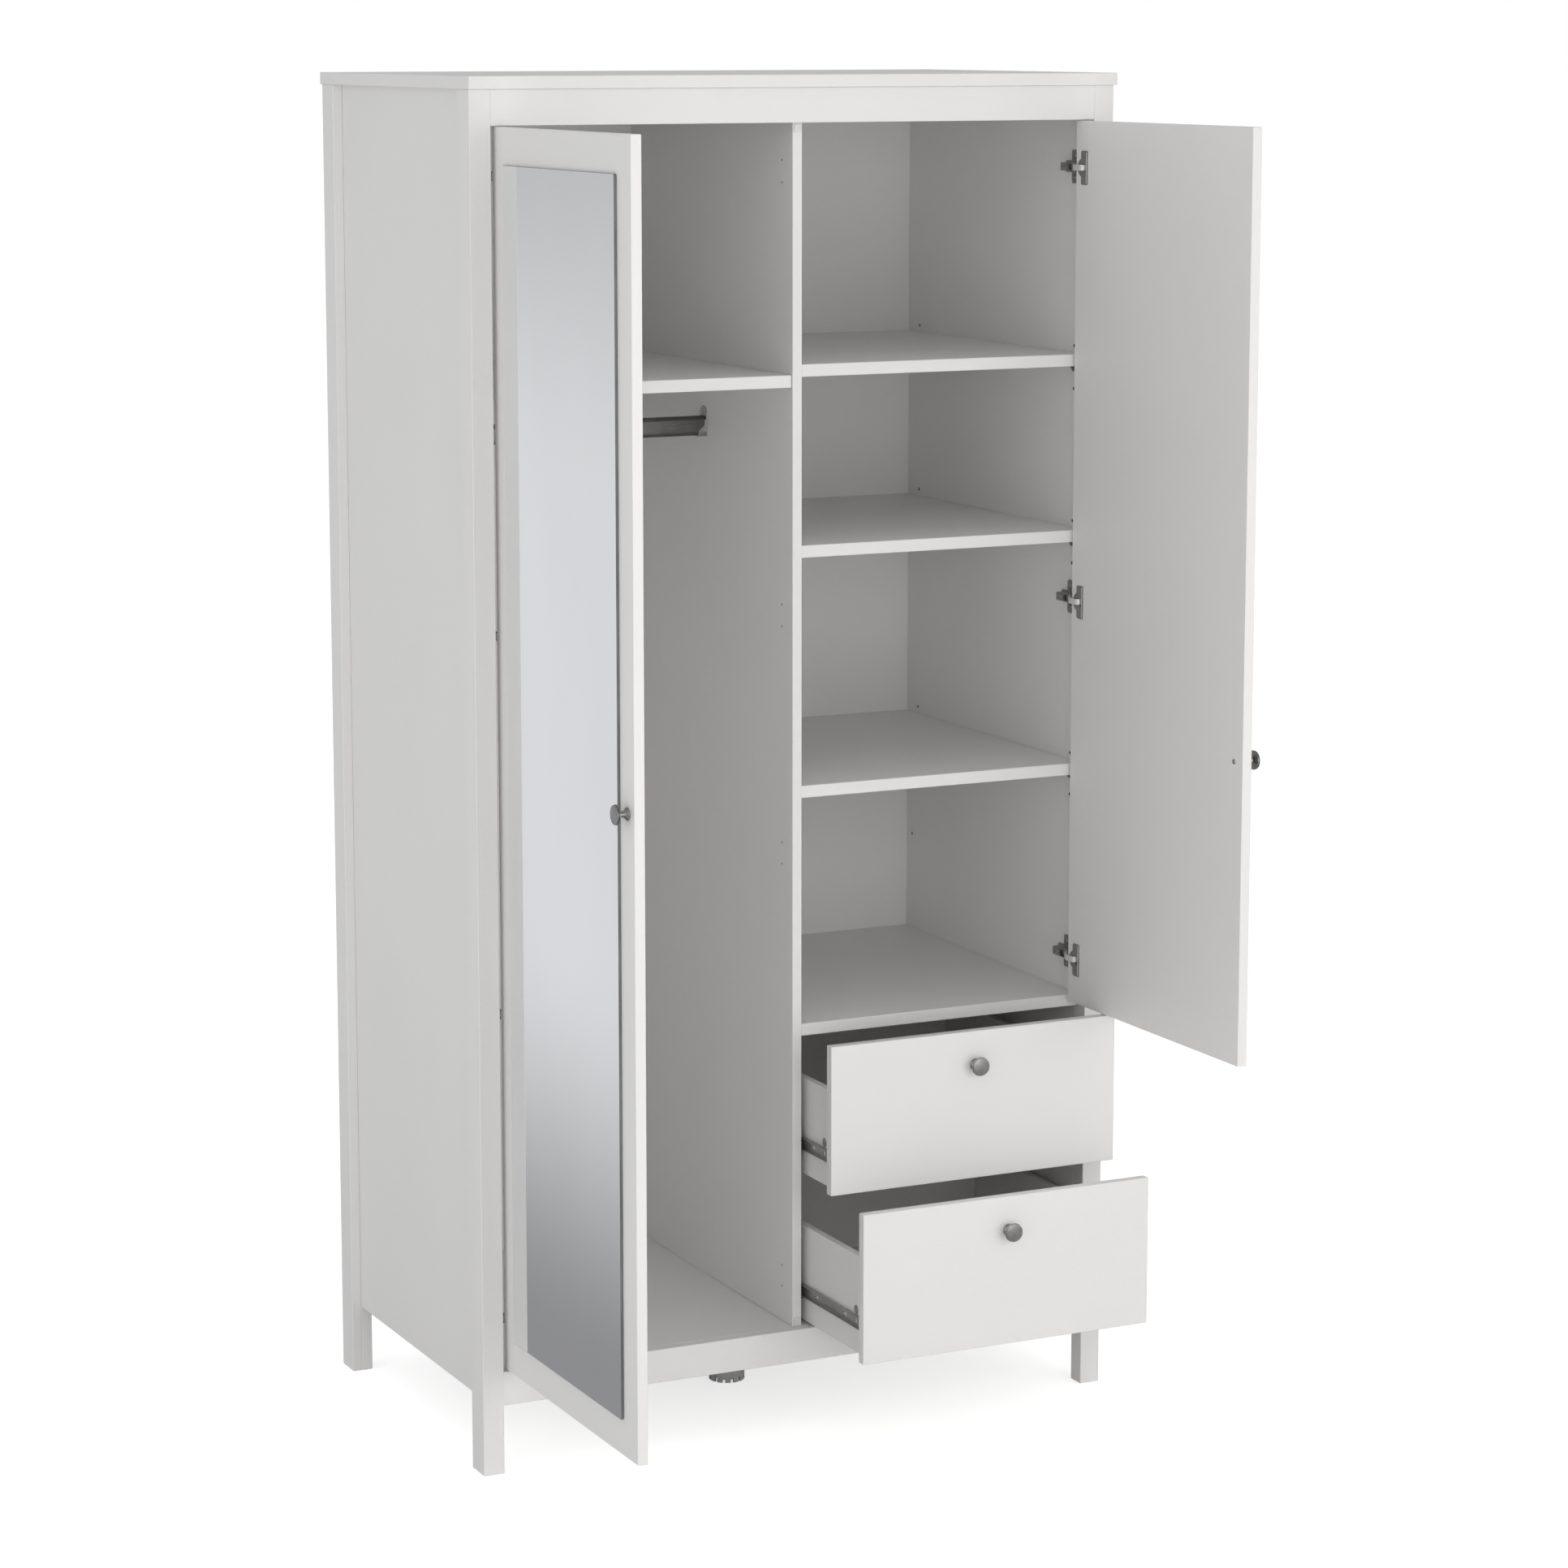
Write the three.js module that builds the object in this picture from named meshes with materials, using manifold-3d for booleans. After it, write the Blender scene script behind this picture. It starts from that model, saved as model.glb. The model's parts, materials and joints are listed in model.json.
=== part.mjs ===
// A two-door wardrobe in white board. A hanging bay lies behind a tall mirrored door on the left, and
// a bay of shelves above two drawers lies on the right, behind a shorter door.
// Millimetres, +Z up, +X to the right as one faces it, the front towards -Y. The origin is the middle
// of the underside of the levelling foot under the divider.
// It stands with both doors open at a right angle and both drawers pulled out.
import * as THREE from 'three';
import { mergeVertices } from 'three/addons/utils/BufferGeometryUtils.js';
import Module from 'manifold-3d';

const wasm = await Module();
wasm.setup();

// ---------------------------------------------------------------- driving dimensions

// Carcass. Depths are measured backwards from FRONT, the plane of the posts and of the closed doors.
const HEIGHT = 2000;
const FRONT = -265;
const OUTER_X = 510;
const STRIP_THICKNESS = 15;
const PANEL_THICKNESS = 17;
const POST_OUTER_DEPTH = 45;
const POST_INNER_DEPTH = 30;
const LEG_DEPTH = 45;
const LEG_INNER_DEPTH = 42;
const CARCASS_DEPTH = 591;
const BACK_THICKNESS = 3;
const TOP_THICKNESS = 18;
const TOP_SIDE_OVERHANG = 2.5;
const TOP_FRONT_OVERHANG = 7;
const TOP_BACK_OVERHANG = 2;
const RAIL_HEIGHT = 50;
const RAIL_THICKNESS = 17;
const FLOOR_CLEARANCE = 102;
const BOTTOM_THICKNESS = 17;
const DIVIDER_THICKNESS = 15;

// Shelves.
const SHELF_THICKNESS = 18;
const SHELF_SETBACK = 20;
const SHELF_PLAY = 0.5;
const HAT_SHELF_TOP = 1571;
const RIGHT_SHELF_TOPS = { upper_shelf: 1586, middle_shelf: 1323, lower_shelf: 969 };
// The fixed shelf is held by dowels, so it has no play at its ends.
const FIXED_SHELF_TOP = 612;

// Hanging rail, a tube of flat oval section.
const RAIL_TUBE_HEIGHT = 30;
const RAIL_TUBE_WIDTH = 15;
const RAIL_TUBE_WALL = 1.25;
const RAIL_TUBE_Z = 1474;
const RAIL_TUBE_DEPTH = 322;
const RAIL_TUBE_END_PLAY = 2;

// Doors.
const BOARD = 15;
const DOOR_WIDTH = 475;
const CENTRE_GAP = 1;
const EDGE_GAP = 1.5;
const FRONT_GAP = 2;
const LEFT_DOOR_OPEN = 90;
const RIGHT_DOOR_OPEN = 91;
const PIVOT_X = 466.75;
const PIVOT_DEPTH = 4.25;
const MIRROR_WIDTH = 384;
const MIRROR_HEIGHT = 1674;
const MIRROR_THICKNESS = 4;
const FIT_GAP = 0.3;

// Drawers.
const DRAWER_FRONT_HEIGHT = 223.5;
const DRAWER_SIDE_HEIGHT = 146;
const DRAWER_SIDE_THICKNESS = 12;
const DRAWER_DEPTH = 500;
const DRAWER_BOTTOM_THICKNESS = 3;
const DRAWER_BOTTOM_RAISE = 10;
const DRAWER_BOX_RAISE = 2;
const UPPER_DRAWER_PULL = 95;
const LOWER_DRAWER_PULL = 200;
const SLIDE_SPACE = 10;
const SLIDE_WALL = 1.25;
const SLIDE_LENGTH = 500;
const SLIDE_START = 22;
const SLIDE_RAISE = 48;
const CABINET_SLIDE_HEIGHT = 27;
const DRAWER_SLIDE_HEIGHT = 19.5;
const SLIDE_LIP = 6.5;

// Knobs.
const KNOB_FROM_EDGE = 22;
const KNOB_BELOW_TOP = 50.5;
const KNOB_PROFILE = [
  [0, 0], [9, 0], [9, 1.25], [5.5, 3.25], [4, 6.5], [3.75, 11], [5.25, 14.5],
  [11, 16], [14, 17], [14, 19.75], [13, 20.75], [0, 20.25],
];

// Door hinges. A cup in the door holds a link that reaches into an arm on the side panel.
const RIGHT_HINGE_HEIGHTS = { upper: 1862, middle: 1218, lower: 672 };
const LEFT_HINGE_HEIGHTS = { upper: 1862, lower: 222 };
const LEFT_BORE_HEIGHTS = [1862, 1218, 672, 222];
const CUP_FROM_EDGE = 19.5;
const CUP_RADIUS = 13;
const CUP_INNER_RADIUS = 12;
const CUP_DEPTH = 10.75;
const CUP_LIP_RADIUS = 14;
const CUP_LIP_TOP = 0.9;
const CUP_FLOOR = 1;
const BORE_RADIUS = 13.4;
const BORE_DEPTH = 11.25;
const WING_WIDTH = 19;
const WING_HEIGHT = 50;
const WING_THICKNESS = 1.3;
const WING_OFFSET = -5.5;
const WING_CORNER = 5;
const LINK_PIVOT_X = 455;
const LINK_PIVOT_DEPTH = 10;
const LINK_RATIO = 0.82;
const LINK_HEIGHT = 8.8;
const LINK_THICKNESS = 2.2;
const LINK_ROUTE = [[0, 0], [-4.3, 2.1], [-6.2, 6.2], [-4.5, 14.4], [-1.5, 22.6], [4.4, 31.2], [13.6, 38.2]];
const LINK_STEPS = 14;
// The arm's limits along X and back from FRONT, and where its web and its boss lie.
const ARM_HEIGHT = 12;
const ARM_WALL = 1.2;
const ARM_X = [461, 471];
const ARM_DEPTHS = [30, 70];
const ARM_WEB_START = 46;
const BOSS_DEPTHS = [50, 66];
const PLATE_DEPTH = 53;
const PLATE_WIDTH = 18.5;
const PLATE_HEIGHT = 50;
const PLATE_CORNER = 4;
const PLATE_THICKNESS = 2;

// Levelling foot, a plastic crown on a spindle that slides in a socket under the bottom panel.
const FOOT_RADIUS = 27.5;
const FOOT_PROFILE = [
  [0, 0], [12, 0], [12, 13], [23.5, 13], [23.5, 0], [27.5, 0], [27.5, 15], [25, 18], [8, 19], [8, 108],
  [0, 108],
];
const FOOT_NOTCHES = 13;
const FOOT_NOTCH_WIDTH = 4.5;
const FOOT_NOTCH_HEIGHT = 7;
const FOOT_NOTCH_START = 18;
const SOCKET_INNER_RADIUS = 8.4;
const SOCKET_RADIUS = 13;
const SOCKET_LENGTH = 80;
const SOCKET_FLANGE_RADIUS = 25;
const SOCKET_FLANGE = 5;

const CHAMFER = 0.75;
const ROUND_SEGMENTS = 20;
const CORNER_SEGMENTS = 4;
// Blocks that become one solid run into each other by this much.
const JOIN_OVERLAP = 0.5;
// Corners closer together than this are one corner.
const WELD_DISTANCE = 1e-4;

// ---------------------------------------------------------------- places worked out from them

const PANEL_X = OUTER_X - STRIP_THICKNESS;
const INNER_X = PANEL_X - PANEL_THICKNESS;
const UNDER_TOP = HEIGHT - TOP_THICKNESS;
const BOTTOM_TOP = FLOOR_CLEARANCE + RAIL_HEIGHT;
const TOP_RAIL_BOTTOM = UNDER_TOP - RAIL_HEIGHT;
const PANEL_BACK = CARCASS_DEPTH - BACK_THICKNESS;
const DIVIDER_X = DIVIDER_THICKNESS / 2;
const FRONTS_BOTTOM = BOTTOM_TOP + EDGE_GAP;
const DOORS_TOP = TOP_RAIL_BOTTOM - EDGE_GAP;
const UPPER_FRONT_BOTTOM = FRONTS_BOTTOM + DRAWER_FRONT_HEIGHT + FRONT_GAP;
const RIGHT_DOOR_BOTTOM = UPPER_FRONT_BOTTOM + DRAWER_FRONT_HEIGHT + FRONT_GAP;
const DOORS_MIDDLE = (FRONTS_BOTTOM + DOORS_TOP) / 2;

// ---------------------------------------------------------------- materials

function finish(color, roughness, metalness) {
  return new THREE.MeshStandardMaterial({ color, roughness, metalness });
}

const whiteBoard = finish(0xe9e8e6, 0.55, 0);
const whiteBack = finish(0xe2e1de, 0.65, 0);
const mirrorGlass = finish(0xcfd4d6, 0.04, 1);
const darkNickel = finish(0x6f7072, 0.32, 1);
const brightNickel = finish(0xc9cacb, 0.22, 1);
const slideSteel = finish(0x8d8f92, 0.4, 1);
const railSteel = finish(0x4d4e50, 0.4, 1);
const greyPlastic = finish(0x85868a, 0.6, 0);

// ---------------------------------------------------------------- shapes

const wardrobe = new THREE.Group();

function add(name, geometry, material, parent = wardrobe) {
  const mesh = new THREE.Mesh(geometry, material);
  mesh.name = name;
  parent.add(mesh);
  return mesh;
}

// Each outside corner of an anticlockwise outline becomes a short slanting edge.
function cutCorners(points) {
  const cut = [];
  points.forEach((corner, index) => {
    const before = points[(index + points.length - 1) % points.length];
    const after = points[(index + 1) % points.length];
    const back = before.clone().sub(corner).normalize();
    const onward = after.clone().sub(corner).normalize();
    if (onward.cross(back) > 0) {
      cut.push(corner.clone().addScaledVector(back, CHAMFER));
      cut.push(corner.clone().addScaledVector(onward, CHAMFER));
    } else {
      cut.push(corner);
    }
  });
  return cut;
}

function vectors(pairs) {
  return pairs.map(([u, v]) => new THREE.Vector2(u, v));
}

// A prism along +Z from its outline, with every edge chamfered.
function chamferedPrism(outline, length) {
  const shape = new THREE.Shape(cutCorners(vectors(outline)));
  const geometry = new THREE.ExtrudeGeometry(shape, {
    depth: length - 2 * CHAMFER,
    bevelSegments: 1,
    bevelSize: CHAMFER,
    bevelThickness: CHAMFER,
    bevelOffset: -CHAMFER,
  });
  return geometry.translate(0, 0, CHAMFER);
}

function plainPrism(shape, length) {
  const curveSegments = CORNER_SEGMENTS;
  return new THREE.ExtrudeGeometry(shape, { depth: length, bevelEnabled: false, curveSegments });
}

// Turns a prism drawn in (x, z) and extruded along its own +Z so that it runs along -Y.
function laidAlongY(geometry) {
  const across = new THREE.Vector3(1, 0, 0);
  const up = new THREE.Vector3(0, 0, 1);
  const forward = new THREE.Vector3(0, -1, 0);
  return geometry.applyMatrix4(new THREE.Matrix4().makeBasis(across, up, forward));
}

// Turns a prism drawn in (y, z) so that it runs along +X.
function laidAlongX(geometry) {
  const across = new THREE.Vector3(0, 1, 0);
  const up = new THREE.Vector3(0, 0, 1);
  const right = new THREE.Vector3(1, 0, 0);
  return geometry.applyMatrix4(new THREE.Matrix4().makeBasis(across, up, right));
}

// A chamfered board between two limits along X, two distances behind FRONT, and two heights.
function board(name, [x0, x1], [d0, d1], [z0, z1], parent = wardrobe, material = whiteBoard) {
  const half = [(x1 - x0) / 2, (d1 - d0) / 2];
  const outline = [[-half[0], -half[1]], [half[0], -half[1]], [half[0], half[1]], [-half[0], half[1]]];
  const mesh = add(name, chamferedPrism(outline, z1 - z0), material, parent);
  mesh.position.set((x0 + x1) / 2, FRONT + (d0 + d1) / 2, z0);
  return mesh;
}

function roundedRectangle(width, height, radius) {
  const [w, h] = [width / 2 - radius, height / 2 - radius];
  const quarter = Math.PI / 2;
  const shape = new THREE.Shape();
  shape.absarc(w, h, radius, 0, quarter);
  shape.absarc(-w, h, radius, quarter, 2 * quarter);
  shape.absarc(-w, -h, radius, 2 * quarter, 3 * quarter);
  shape.absarc(w, -h, radius, 3 * quarter, 4 * quarter);
  return shape;
}

// A turned piece about +Y: the profile is pairs of radius and height, on the axis at both ends.
function turned(profile) {
  return new THREE.LatheGeometry(vectors(profile), ROUND_SEGMENTS);
}

function boxBetween([x0, x1], [y0, y1], [z0, z1]) {
  const geometry = new THREE.BoxGeometry(x1 - x0, y1 - y0, z1 - z0);
  return geometry.translate((x0 + x1) / 2, (y0 + y1) / 2, (z0 + z1) / 2);
}

// ---------------------------------------------------------------- joining and cutting

function toSolid(geometry) {
  const bare = geometry.clone();
  bare.deleteAttribute('normal');
  bare.deleteAttribute('uv');
  const merged = mergeVertices(bare, WELD_DISTANCE);
  return new wasm.Manifold(new wasm.Mesh({
    numProp: 3,
    vertProperties: Float32Array.from(merged.attributes.position.array),
    triVerts: Uint32Array.from(merged.index.array),
  }));
}

function toGeometry(solid) {
  const mesh = solid.getMesh();
  const geometry = new THREE.BufferGeometry();
  geometry.setAttribute('position', new THREE.BufferAttribute(mesh.vertProperties, 3));
  geometry.setIndex(new THREE.BufferAttribute(mesh.triVerts, 1));
  geometry.computeVertexNormals();
  return geometry;
}

function joined(geometries) {
  return geometries.map(toSolid).reduce((whole, piece) => whole.add(piece));
}

// ---------------------------------------------------------------- carcass

function makeCarcass() {
  board(
    'top_panel',
    [-OUTER_X - TOP_SIDE_OVERHANG, OUTER_X + TOP_SIDE_OVERHANG],
    [-TOP_FRONT_OVERHANG, CARCASS_DEPTH + TOP_BACK_OVERHANG],
    [UNDER_TOP, HEIGHT],
  );
  board('top_rail', [-INNER_X, INNER_X], [0, RAIL_THICKNESS], [TOP_RAIL_BOTTOM, UNDER_TOP]);
  board('bottom_rail', [-INNER_X, INNER_X], [0, RAIL_THICKNESS], [FLOOR_CLEARANCE, BOTTOM_TOP]);
  const behindRails = [RAIL_THICKNESS, PANEL_BACK];
  board('bottom_panel', [-INNER_X, INNER_X], behindRails, [BOTTOM_TOP - BOTTOM_THICKNESS, BOTTOM_TOP]);
  board('divider', [-DIVIDER_X, DIVIDER_X], behindRails, [BOTTOM_TOP, UNDER_TOP]);
  const backDepths = [PANEL_BACK, CARCASS_DEPTH];
  board('back_panel', [-PANEL_X, PANEL_X], backDepths, [FLOOR_CLEARANCE, UNDER_TOP], wardrobe, whiteBack);
}

// The front post has an outer layer at full depth and an inner part that the side panel butts against.
function makeFrontPost(side, sign) {
  const [x0, x1, x2] = [INNER_X * sign, PANEL_X * sign, OUTER_X * sign];
  const outline = [
    [x0, FRONT], [x2, FRONT], [x2, FRONT + POST_OUTER_DEPTH], [x1, FRONT + POST_OUTER_DEPTH],
    [x1, FRONT + POST_INNER_DEPTH], [x0, FRONT + POST_INNER_DEPTH],
  ];
  add(`${side}_front_post`, chamferedPrism(sign > 0 ? outline : outline.reverse(), UNDER_TOP), whiteBoard);
}

function makeBackLeg(side, sign) {
  const across = [PANEL_X * sign, OUTER_X * sign].sort((a, b) => a - b);
  board(`${side}_back_leg`, across, [CARCASS_DEPTH - LEG_DEPTH, CARCASS_DEPTH], [0, UNDER_TOP]);
}

// The side panel runs down to the floor at its rear, where it is the inner half of the back leg.
function makeSidePanel(side, sign) {
  const [front, back] = [FRONT + POST_INNER_DEPTH, FRONT + PANEL_BACK];
  const legFront = back - LEG_INNER_DEPTH;
  const outline = [
    [front, FLOOR_CLEARANCE], [legFront, FLOOR_CLEARANCE], [legFront, 0],
    [back, 0], [back, UNDER_TOP], [front, UNDER_TOP],
  ];
  const mesh = add(`${side}_side_panel`, laidAlongX(chamferedPrism(outline, PANEL_THICKNESS)), whiteBoard);
  mesh.position.x = sign > 0 ? INNER_X : -PANEL_X;
}

function makeShelves() {
  const depths = [SHELF_SETBACK, PANEL_BACK];
  const leftBay = [-INNER_X + SHELF_PLAY, -DIVIDER_X - SHELF_PLAY];
  const rightBay = [DIVIDER_X + SHELF_PLAY, INNER_X - SHELF_PLAY];
  board('hat_shelf', leftBay, depths, [HAT_SHELF_TOP - SHELF_THICKNESS, HAT_SHELF_TOP]);
  for (const [name, top] of Object.entries(RIGHT_SHELF_TOPS)) {
    board(name, rightBay, depths, [top - SHELF_THICKNESS, top]);
  }
  board('fixed_shelf', [DIVIDER_X, INNER_X], depths, [FIXED_SHELF_TOP - SHELF_THICKNESS, FIXED_SHELF_TOP]);
}

function makeHangingRail() {
  const shape = roundedRectangle(RAIL_TUBE_WIDTH, RAIL_TUBE_HEIGHT, RAIL_TUBE_WIDTH / 2);
  const innerWidth = RAIL_TUBE_WIDTH - 2 * RAIL_TUBE_WALL;
  const innerHeight = RAIL_TUBE_HEIGHT - 2 * RAIL_TUBE_WALL;
  shape.holes.push(roundedRectangle(innerWidth, innerHeight, innerWidth / 2));
  const length = INNER_X - DIVIDER_X - 2 * RAIL_TUBE_END_PLAY;
  const mesh = add('hanging_rail', laidAlongX(plainPrism(shape, length)), railSteel);
  mesh.position.set(-INNER_X + RAIL_TUBE_END_PLAY, FRONT + RAIL_TUBE_DEPTH, RAIL_TUBE_Z);
}

// ---------------------------------------------------------------- levelling foot

function makeFoot() {
  const notch = boxBetween(
    [-FOOT_NOTCH_WIDTH / 2, FOOT_NOTCH_WIDTH / 2],
    [-FOOT_NOTCH_HEIGHT, FOOT_NOTCH_HEIGHT],
    [FOOT_NOTCH_START, 2 * FOOT_RADIUS - FOOT_NOTCH_START],
  );
  const notches = Array.from({ length: FOOT_NOTCHES }, (_, index) => (
    notch.clone().rotateY((index + 0.5) * 2 * Math.PI / FOOT_NOTCHES)
  ));
  const foot = toGeometry(toSolid(turned(FOOT_PROFILE)).subtract(joined(notches)));
  add('centre_foot', foot.rotateX(Math.PI / 2), greyPlastic);

  const socket = turned([
    [SOCKET_INNER_RADIUS, 0], [SOCKET_RADIUS, 0], [SOCKET_RADIUS, SOCKET_LENGTH - SOCKET_FLANGE],
    [SOCKET_FLANGE_RADIUS, SOCKET_LENGTH - SOCKET_FLANGE], [SOCKET_FLANGE_RADIUS, SOCKET_LENGTH],
    [SOCKET_INNER_RADIUS, SOCKET_LENGTH], [SOCKET_INNER_RADIUS, 0],
  ]);
  const mesh = add('foot_socket', socket.rotateX(Math.PI / 2), greyPlastic);
  mesh.position.z = BOTTOM_TOP - BOTTOM_THICKNESS - SOCKET_LENGTH;
}

// ---------------------------------------------------------------- knobs

// A knob that stands forwards from a point on a front, towards -Y.
function makeKnob(name, x, y, z, parent) {
  const mesh = add(name, turned(KNOB_PROFILE).rotateX(Math.PI), darkNickel, parent);
  mesh.position.set(x, y - FIT_GAP, z);
}

// ---------------------------------------------------------------- doors and hinges

// Everything on a door is drawn with the door shut and turned about the hinge line together.
// The group's own coordinates start at the hinge line, and sign is 1 for the right door.
function makeDoorGroup(sign, openAngle) {
  const group = new THREE.Group();
  group.position.set(sign * PIVOT_X, FRONT + PIVOT_DEPTH, 0);
  group.rotation.z = THREE.MathUtils.degToRad(sign * openAngle);
  wardrobe.add(group);
  return group;
}

function makeDoor(side, sign, bottom, boreHeights, parent) {
  const edge = sign * (CENTRE_GAP + DOOR_WIDTH - PIVOT_X);
  const width = [-DOOR_WIDTH / 2, DOOR_WIDTH / 2];
  const outline = [[width[0], 0], [width[1], 0], [width[1], BOARD], [width[0], BOARD]];
  const solid = toSolid(chamferedPrism(outline, DOORS_TOP - bottom));
  const bore = new THREE.CylinderGeometry(BORE_RADIUS, BORE_RADIUS, 2 * BORE_DEPTH, ROUND_SEGMENTS);
  const boreX = sign * (DOOR_WIDTH / 2 - CUP_FROM_EDGE);
  const bores = boreHeights.map((height) => toSolid(bore.clone().translate(boreX, BOARD, height - bottom)));
  const door = bores.reduce((whole, hole) => whole.subtract(hole), solid);
  const mesh = add(`${side}_door`, toGeometry(door), whiteBoard, parent);
  mesh.position.set(edge - sign * DOOR_WIDTH / 2, -PIVOT_DEPTH, bottom);
}

// The mirror stands proud of the outer face, in the middle of the door.
function makeMirror(parent) {
  const [w, t] = [MIRROR_WIDTH / 2, MIRROR_THICKNESS];
  const geometry = chamferedPrism([[-w, -t], [w, -t], [w, 0], [-w, 0]], MIRROR_HEIGHT);
  const mesh = add('mirror', geometry, mirrorGlass, parent);
  const middle = PIVOT_X - CENTRE_GAP - DOOR_WIDTH / 2;
  mesh.position.set(middle, -PIVOT_DEPTH - FIT_GAP, DOORS_MIDDLE - MIRROR_HEIGHT / 2);
}

// The cup lies along +Y with its mouth level with the door's inner face, and two wings lie on that face.
function cupGeometry() {
  const cup = turned([
    [0, -CUP_DEPTH], [CUP_RADIUS, -CUP_DEPTH], [CUP_RADIUS, FIT_GAP], [CUP_LIP_RADIUS, FIT_GAP],
    [CUP_LIP_RADIUS, CUP_LIP_TOP], [CUP_INNER_RADIUS, CUP_LIP_TOP],
    [CUP_INNER_RADIUS, CUP_FLOOR - CUP_DEPTH], [0, CUP_FLOOR - CUP_DEPTH],
  ]);
  const wingOutline = roundedRectangle(WING_WIDTH, WING_HEIGHT, WING_CORNER);
  const wings = laidAlongY(plainPrism(wingOutline, WING_THICKNESS));
  wings.translate(WING_OFFSET, FIT_GAP + WING_THICKNESS, 0);
  const mouth = new THREE.CylinderGeometry(CUP_INNER_RADIUS, CUP_INNER_RADIUS, CUP_DEPTH, ROUND_SEGMENTS);
  return toGeometry(toSolid(wings).subtract(toSolid(mouth)).add(toSolid(cup)));
}

// The link is a strip that curves out of the cup, over the door's edge and back to the arm.
function linkGeometry() {
  const route = new THREE.SplineCurve(vectors(LINK_ROUTE));
  const [nearSide, farSide] = [[], []];
  for (let step = 0; step <= LINK_STEPS; step += 1) {
    const point = route.getPoint(step / LINK_STEPS);
    const along = route.getTangent(step / LINK_STEPS);
    const across = new THREE.Vector2(along.y, -along.x).multiplyScalar(LINK_THICKNESS / 2);
    nearSide.push(point.clone().add(across));
    farSide.unshift(point.clone().sub(across));
  }
  const outline = new THREE.Shape([...nearSide, ...farSide]);
  return plainPrism(outline, LINK_HEIGHT).translate(0, 0, -LINK_HEIGHT / 2);
}

// The arm is a channel that opens towards the side panel, on a boss and an upright plate.
// It is drawn about the hinge's mid-height, with Y measured back from FRONT.
function armGeometry() {
  const half = ARM_HEIGHT / 2;
  const plateFace = INNER_X - PLATE_THICKNESS;
  const plateOutline = roundedRectangle(PLATE_WIDTH, PLATE_HEIGHT, PLATE_CORNER);
  const plate = laidAlongX(plainPrism(plateOutline, PLATE_THICKNESS)).translate(plateFace, PLATE_DEPTH, 0);
  const web = boxBetween([ARM_X[0], ARM_X[0] + ARM_WALL], [ARM_WEB_START, ARM_DEPTHS[1]], [-half, half]);
  const upperCheek = boxBetween(ARM_X, ARM_DEPTHS, [half - ARM_WALL, half]);
  const lowerCheek = boxBetween(ARM_X, ARM_DEPTHS, [-half, ARM_WALL - half]);
  const boss = boxBetween([ARM_X[1] - JOIN_OVERLAP, plateFace + JOIN_OVERLAP], BOSS_DEPTHS, [-half, half]);
  const foot = boxBetween([plateFace, INNER_X], BOSS_DEPTHS, [-half, half]);
  return toGeometry(joined([plate, web, upperCheek, lowerCheek, boss, foot]));
}

// The hinge parts are drawn for the right door. They are the same above and below their mid-height, so
// half a turn about Y gives the left door's.
function makeHinge(side, sign, label, height, openAngle, doorGroup) {
  const halfTurn = sign > 0 ? 0 : Math.PI;
  const arm = add(`${side}_${label}_hinge_arm`, armGeometry(), darkNickel);
  arm.position.set(0, FRONT, height);
  arm.rotation.y = halfTurn;

  const cup = add(`${side}_${label}_hinge_cup`, cupGeometry(), darkNickel, doorGroup);
  const cupX = CENTRE_GAP + DOOR_WIDTH - CUP_FROM_EDGE - PIVOT_X;
  cup.position.set(sign * cupX, BOARD - PIVOT_DEPTH, height);
  cup.rotation.y = halfTurn;

  const pivot = new THREE.Group();
  pivot.position.set(sign * (LINK_PIVOT_X - PIVOT_X), LINK_PIVOT_DEPTH - PIVOT_DEPTH, height);
  pivot.rotation.z = THREE.MathUtils.degToRad(-sign * openAngle * LINK_RATIO);
  doorGroup.add(pivot);
  const link = add(`${side}_${label}_hinge_link`, linkGeometry(), brightNickel, pivot);
  link.rotation.y = halfTurn;
}

function makeDoors() {
  const left = makeDoorGroup(-1, LEFT_DOOR_OPEN);
  makeDoor('left', -1, FRONTS_BOTTOM, LEFT_BORE_HEIGHTS, left);
  makeMirror(left);
  makeKnob('left_door_knob', PIVOT_X - CENTRE_GAP - KNOB_FROM_EDGE, -PIVOT_DEPTH, DOORS_MIDDLE, left);
  for (const [label, height] of Object.entries(LEFT_HINGE_HEIGHTS)) {
    makeHinge('left', -1, label, height, LEFT_DOOR_OPEN, left);
  }

  const right = makeDoorGroup(1, RIGHT_DOOR_OPEN);
  makeDoor('right', 1, RIGHT_DOOR_BOTTOM, Object.values(RIGHT_HINGE_HEIGHTS), right);
  makeKnob('right_door_knob', CENTRE_GAP + KNOB_FROM_EDGE - PIVOT_X, -PIVOT_DEPTH, DOORS_MIDDLE, right);
  for (const [label, height] of Object.entries(RIGHT_HINGE_HEIGHTS)) {
    makeHinge('right', 1, label, height, RIGHT_DOOR_OPEN, right);
  }
}

// ---------------------------------------------------------------- drawers and slides

// A channel section of one slide member, open towards +X, with its web on the plane x = 0.
function channel(height, lip) {
  const half = height / 2;
  return new THREE.Shape(vectors([
    [0, -half], [lip, -half], [lip, SLIDE_WALL - half], [SLIDE_WALL, SLIDE_WALL - half],
    [SLIDE_WALL, half - SLIDE_WALL], [lip, half - SLIDE_WALL], [lip, half], [0, half],
  ]));
}

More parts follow.
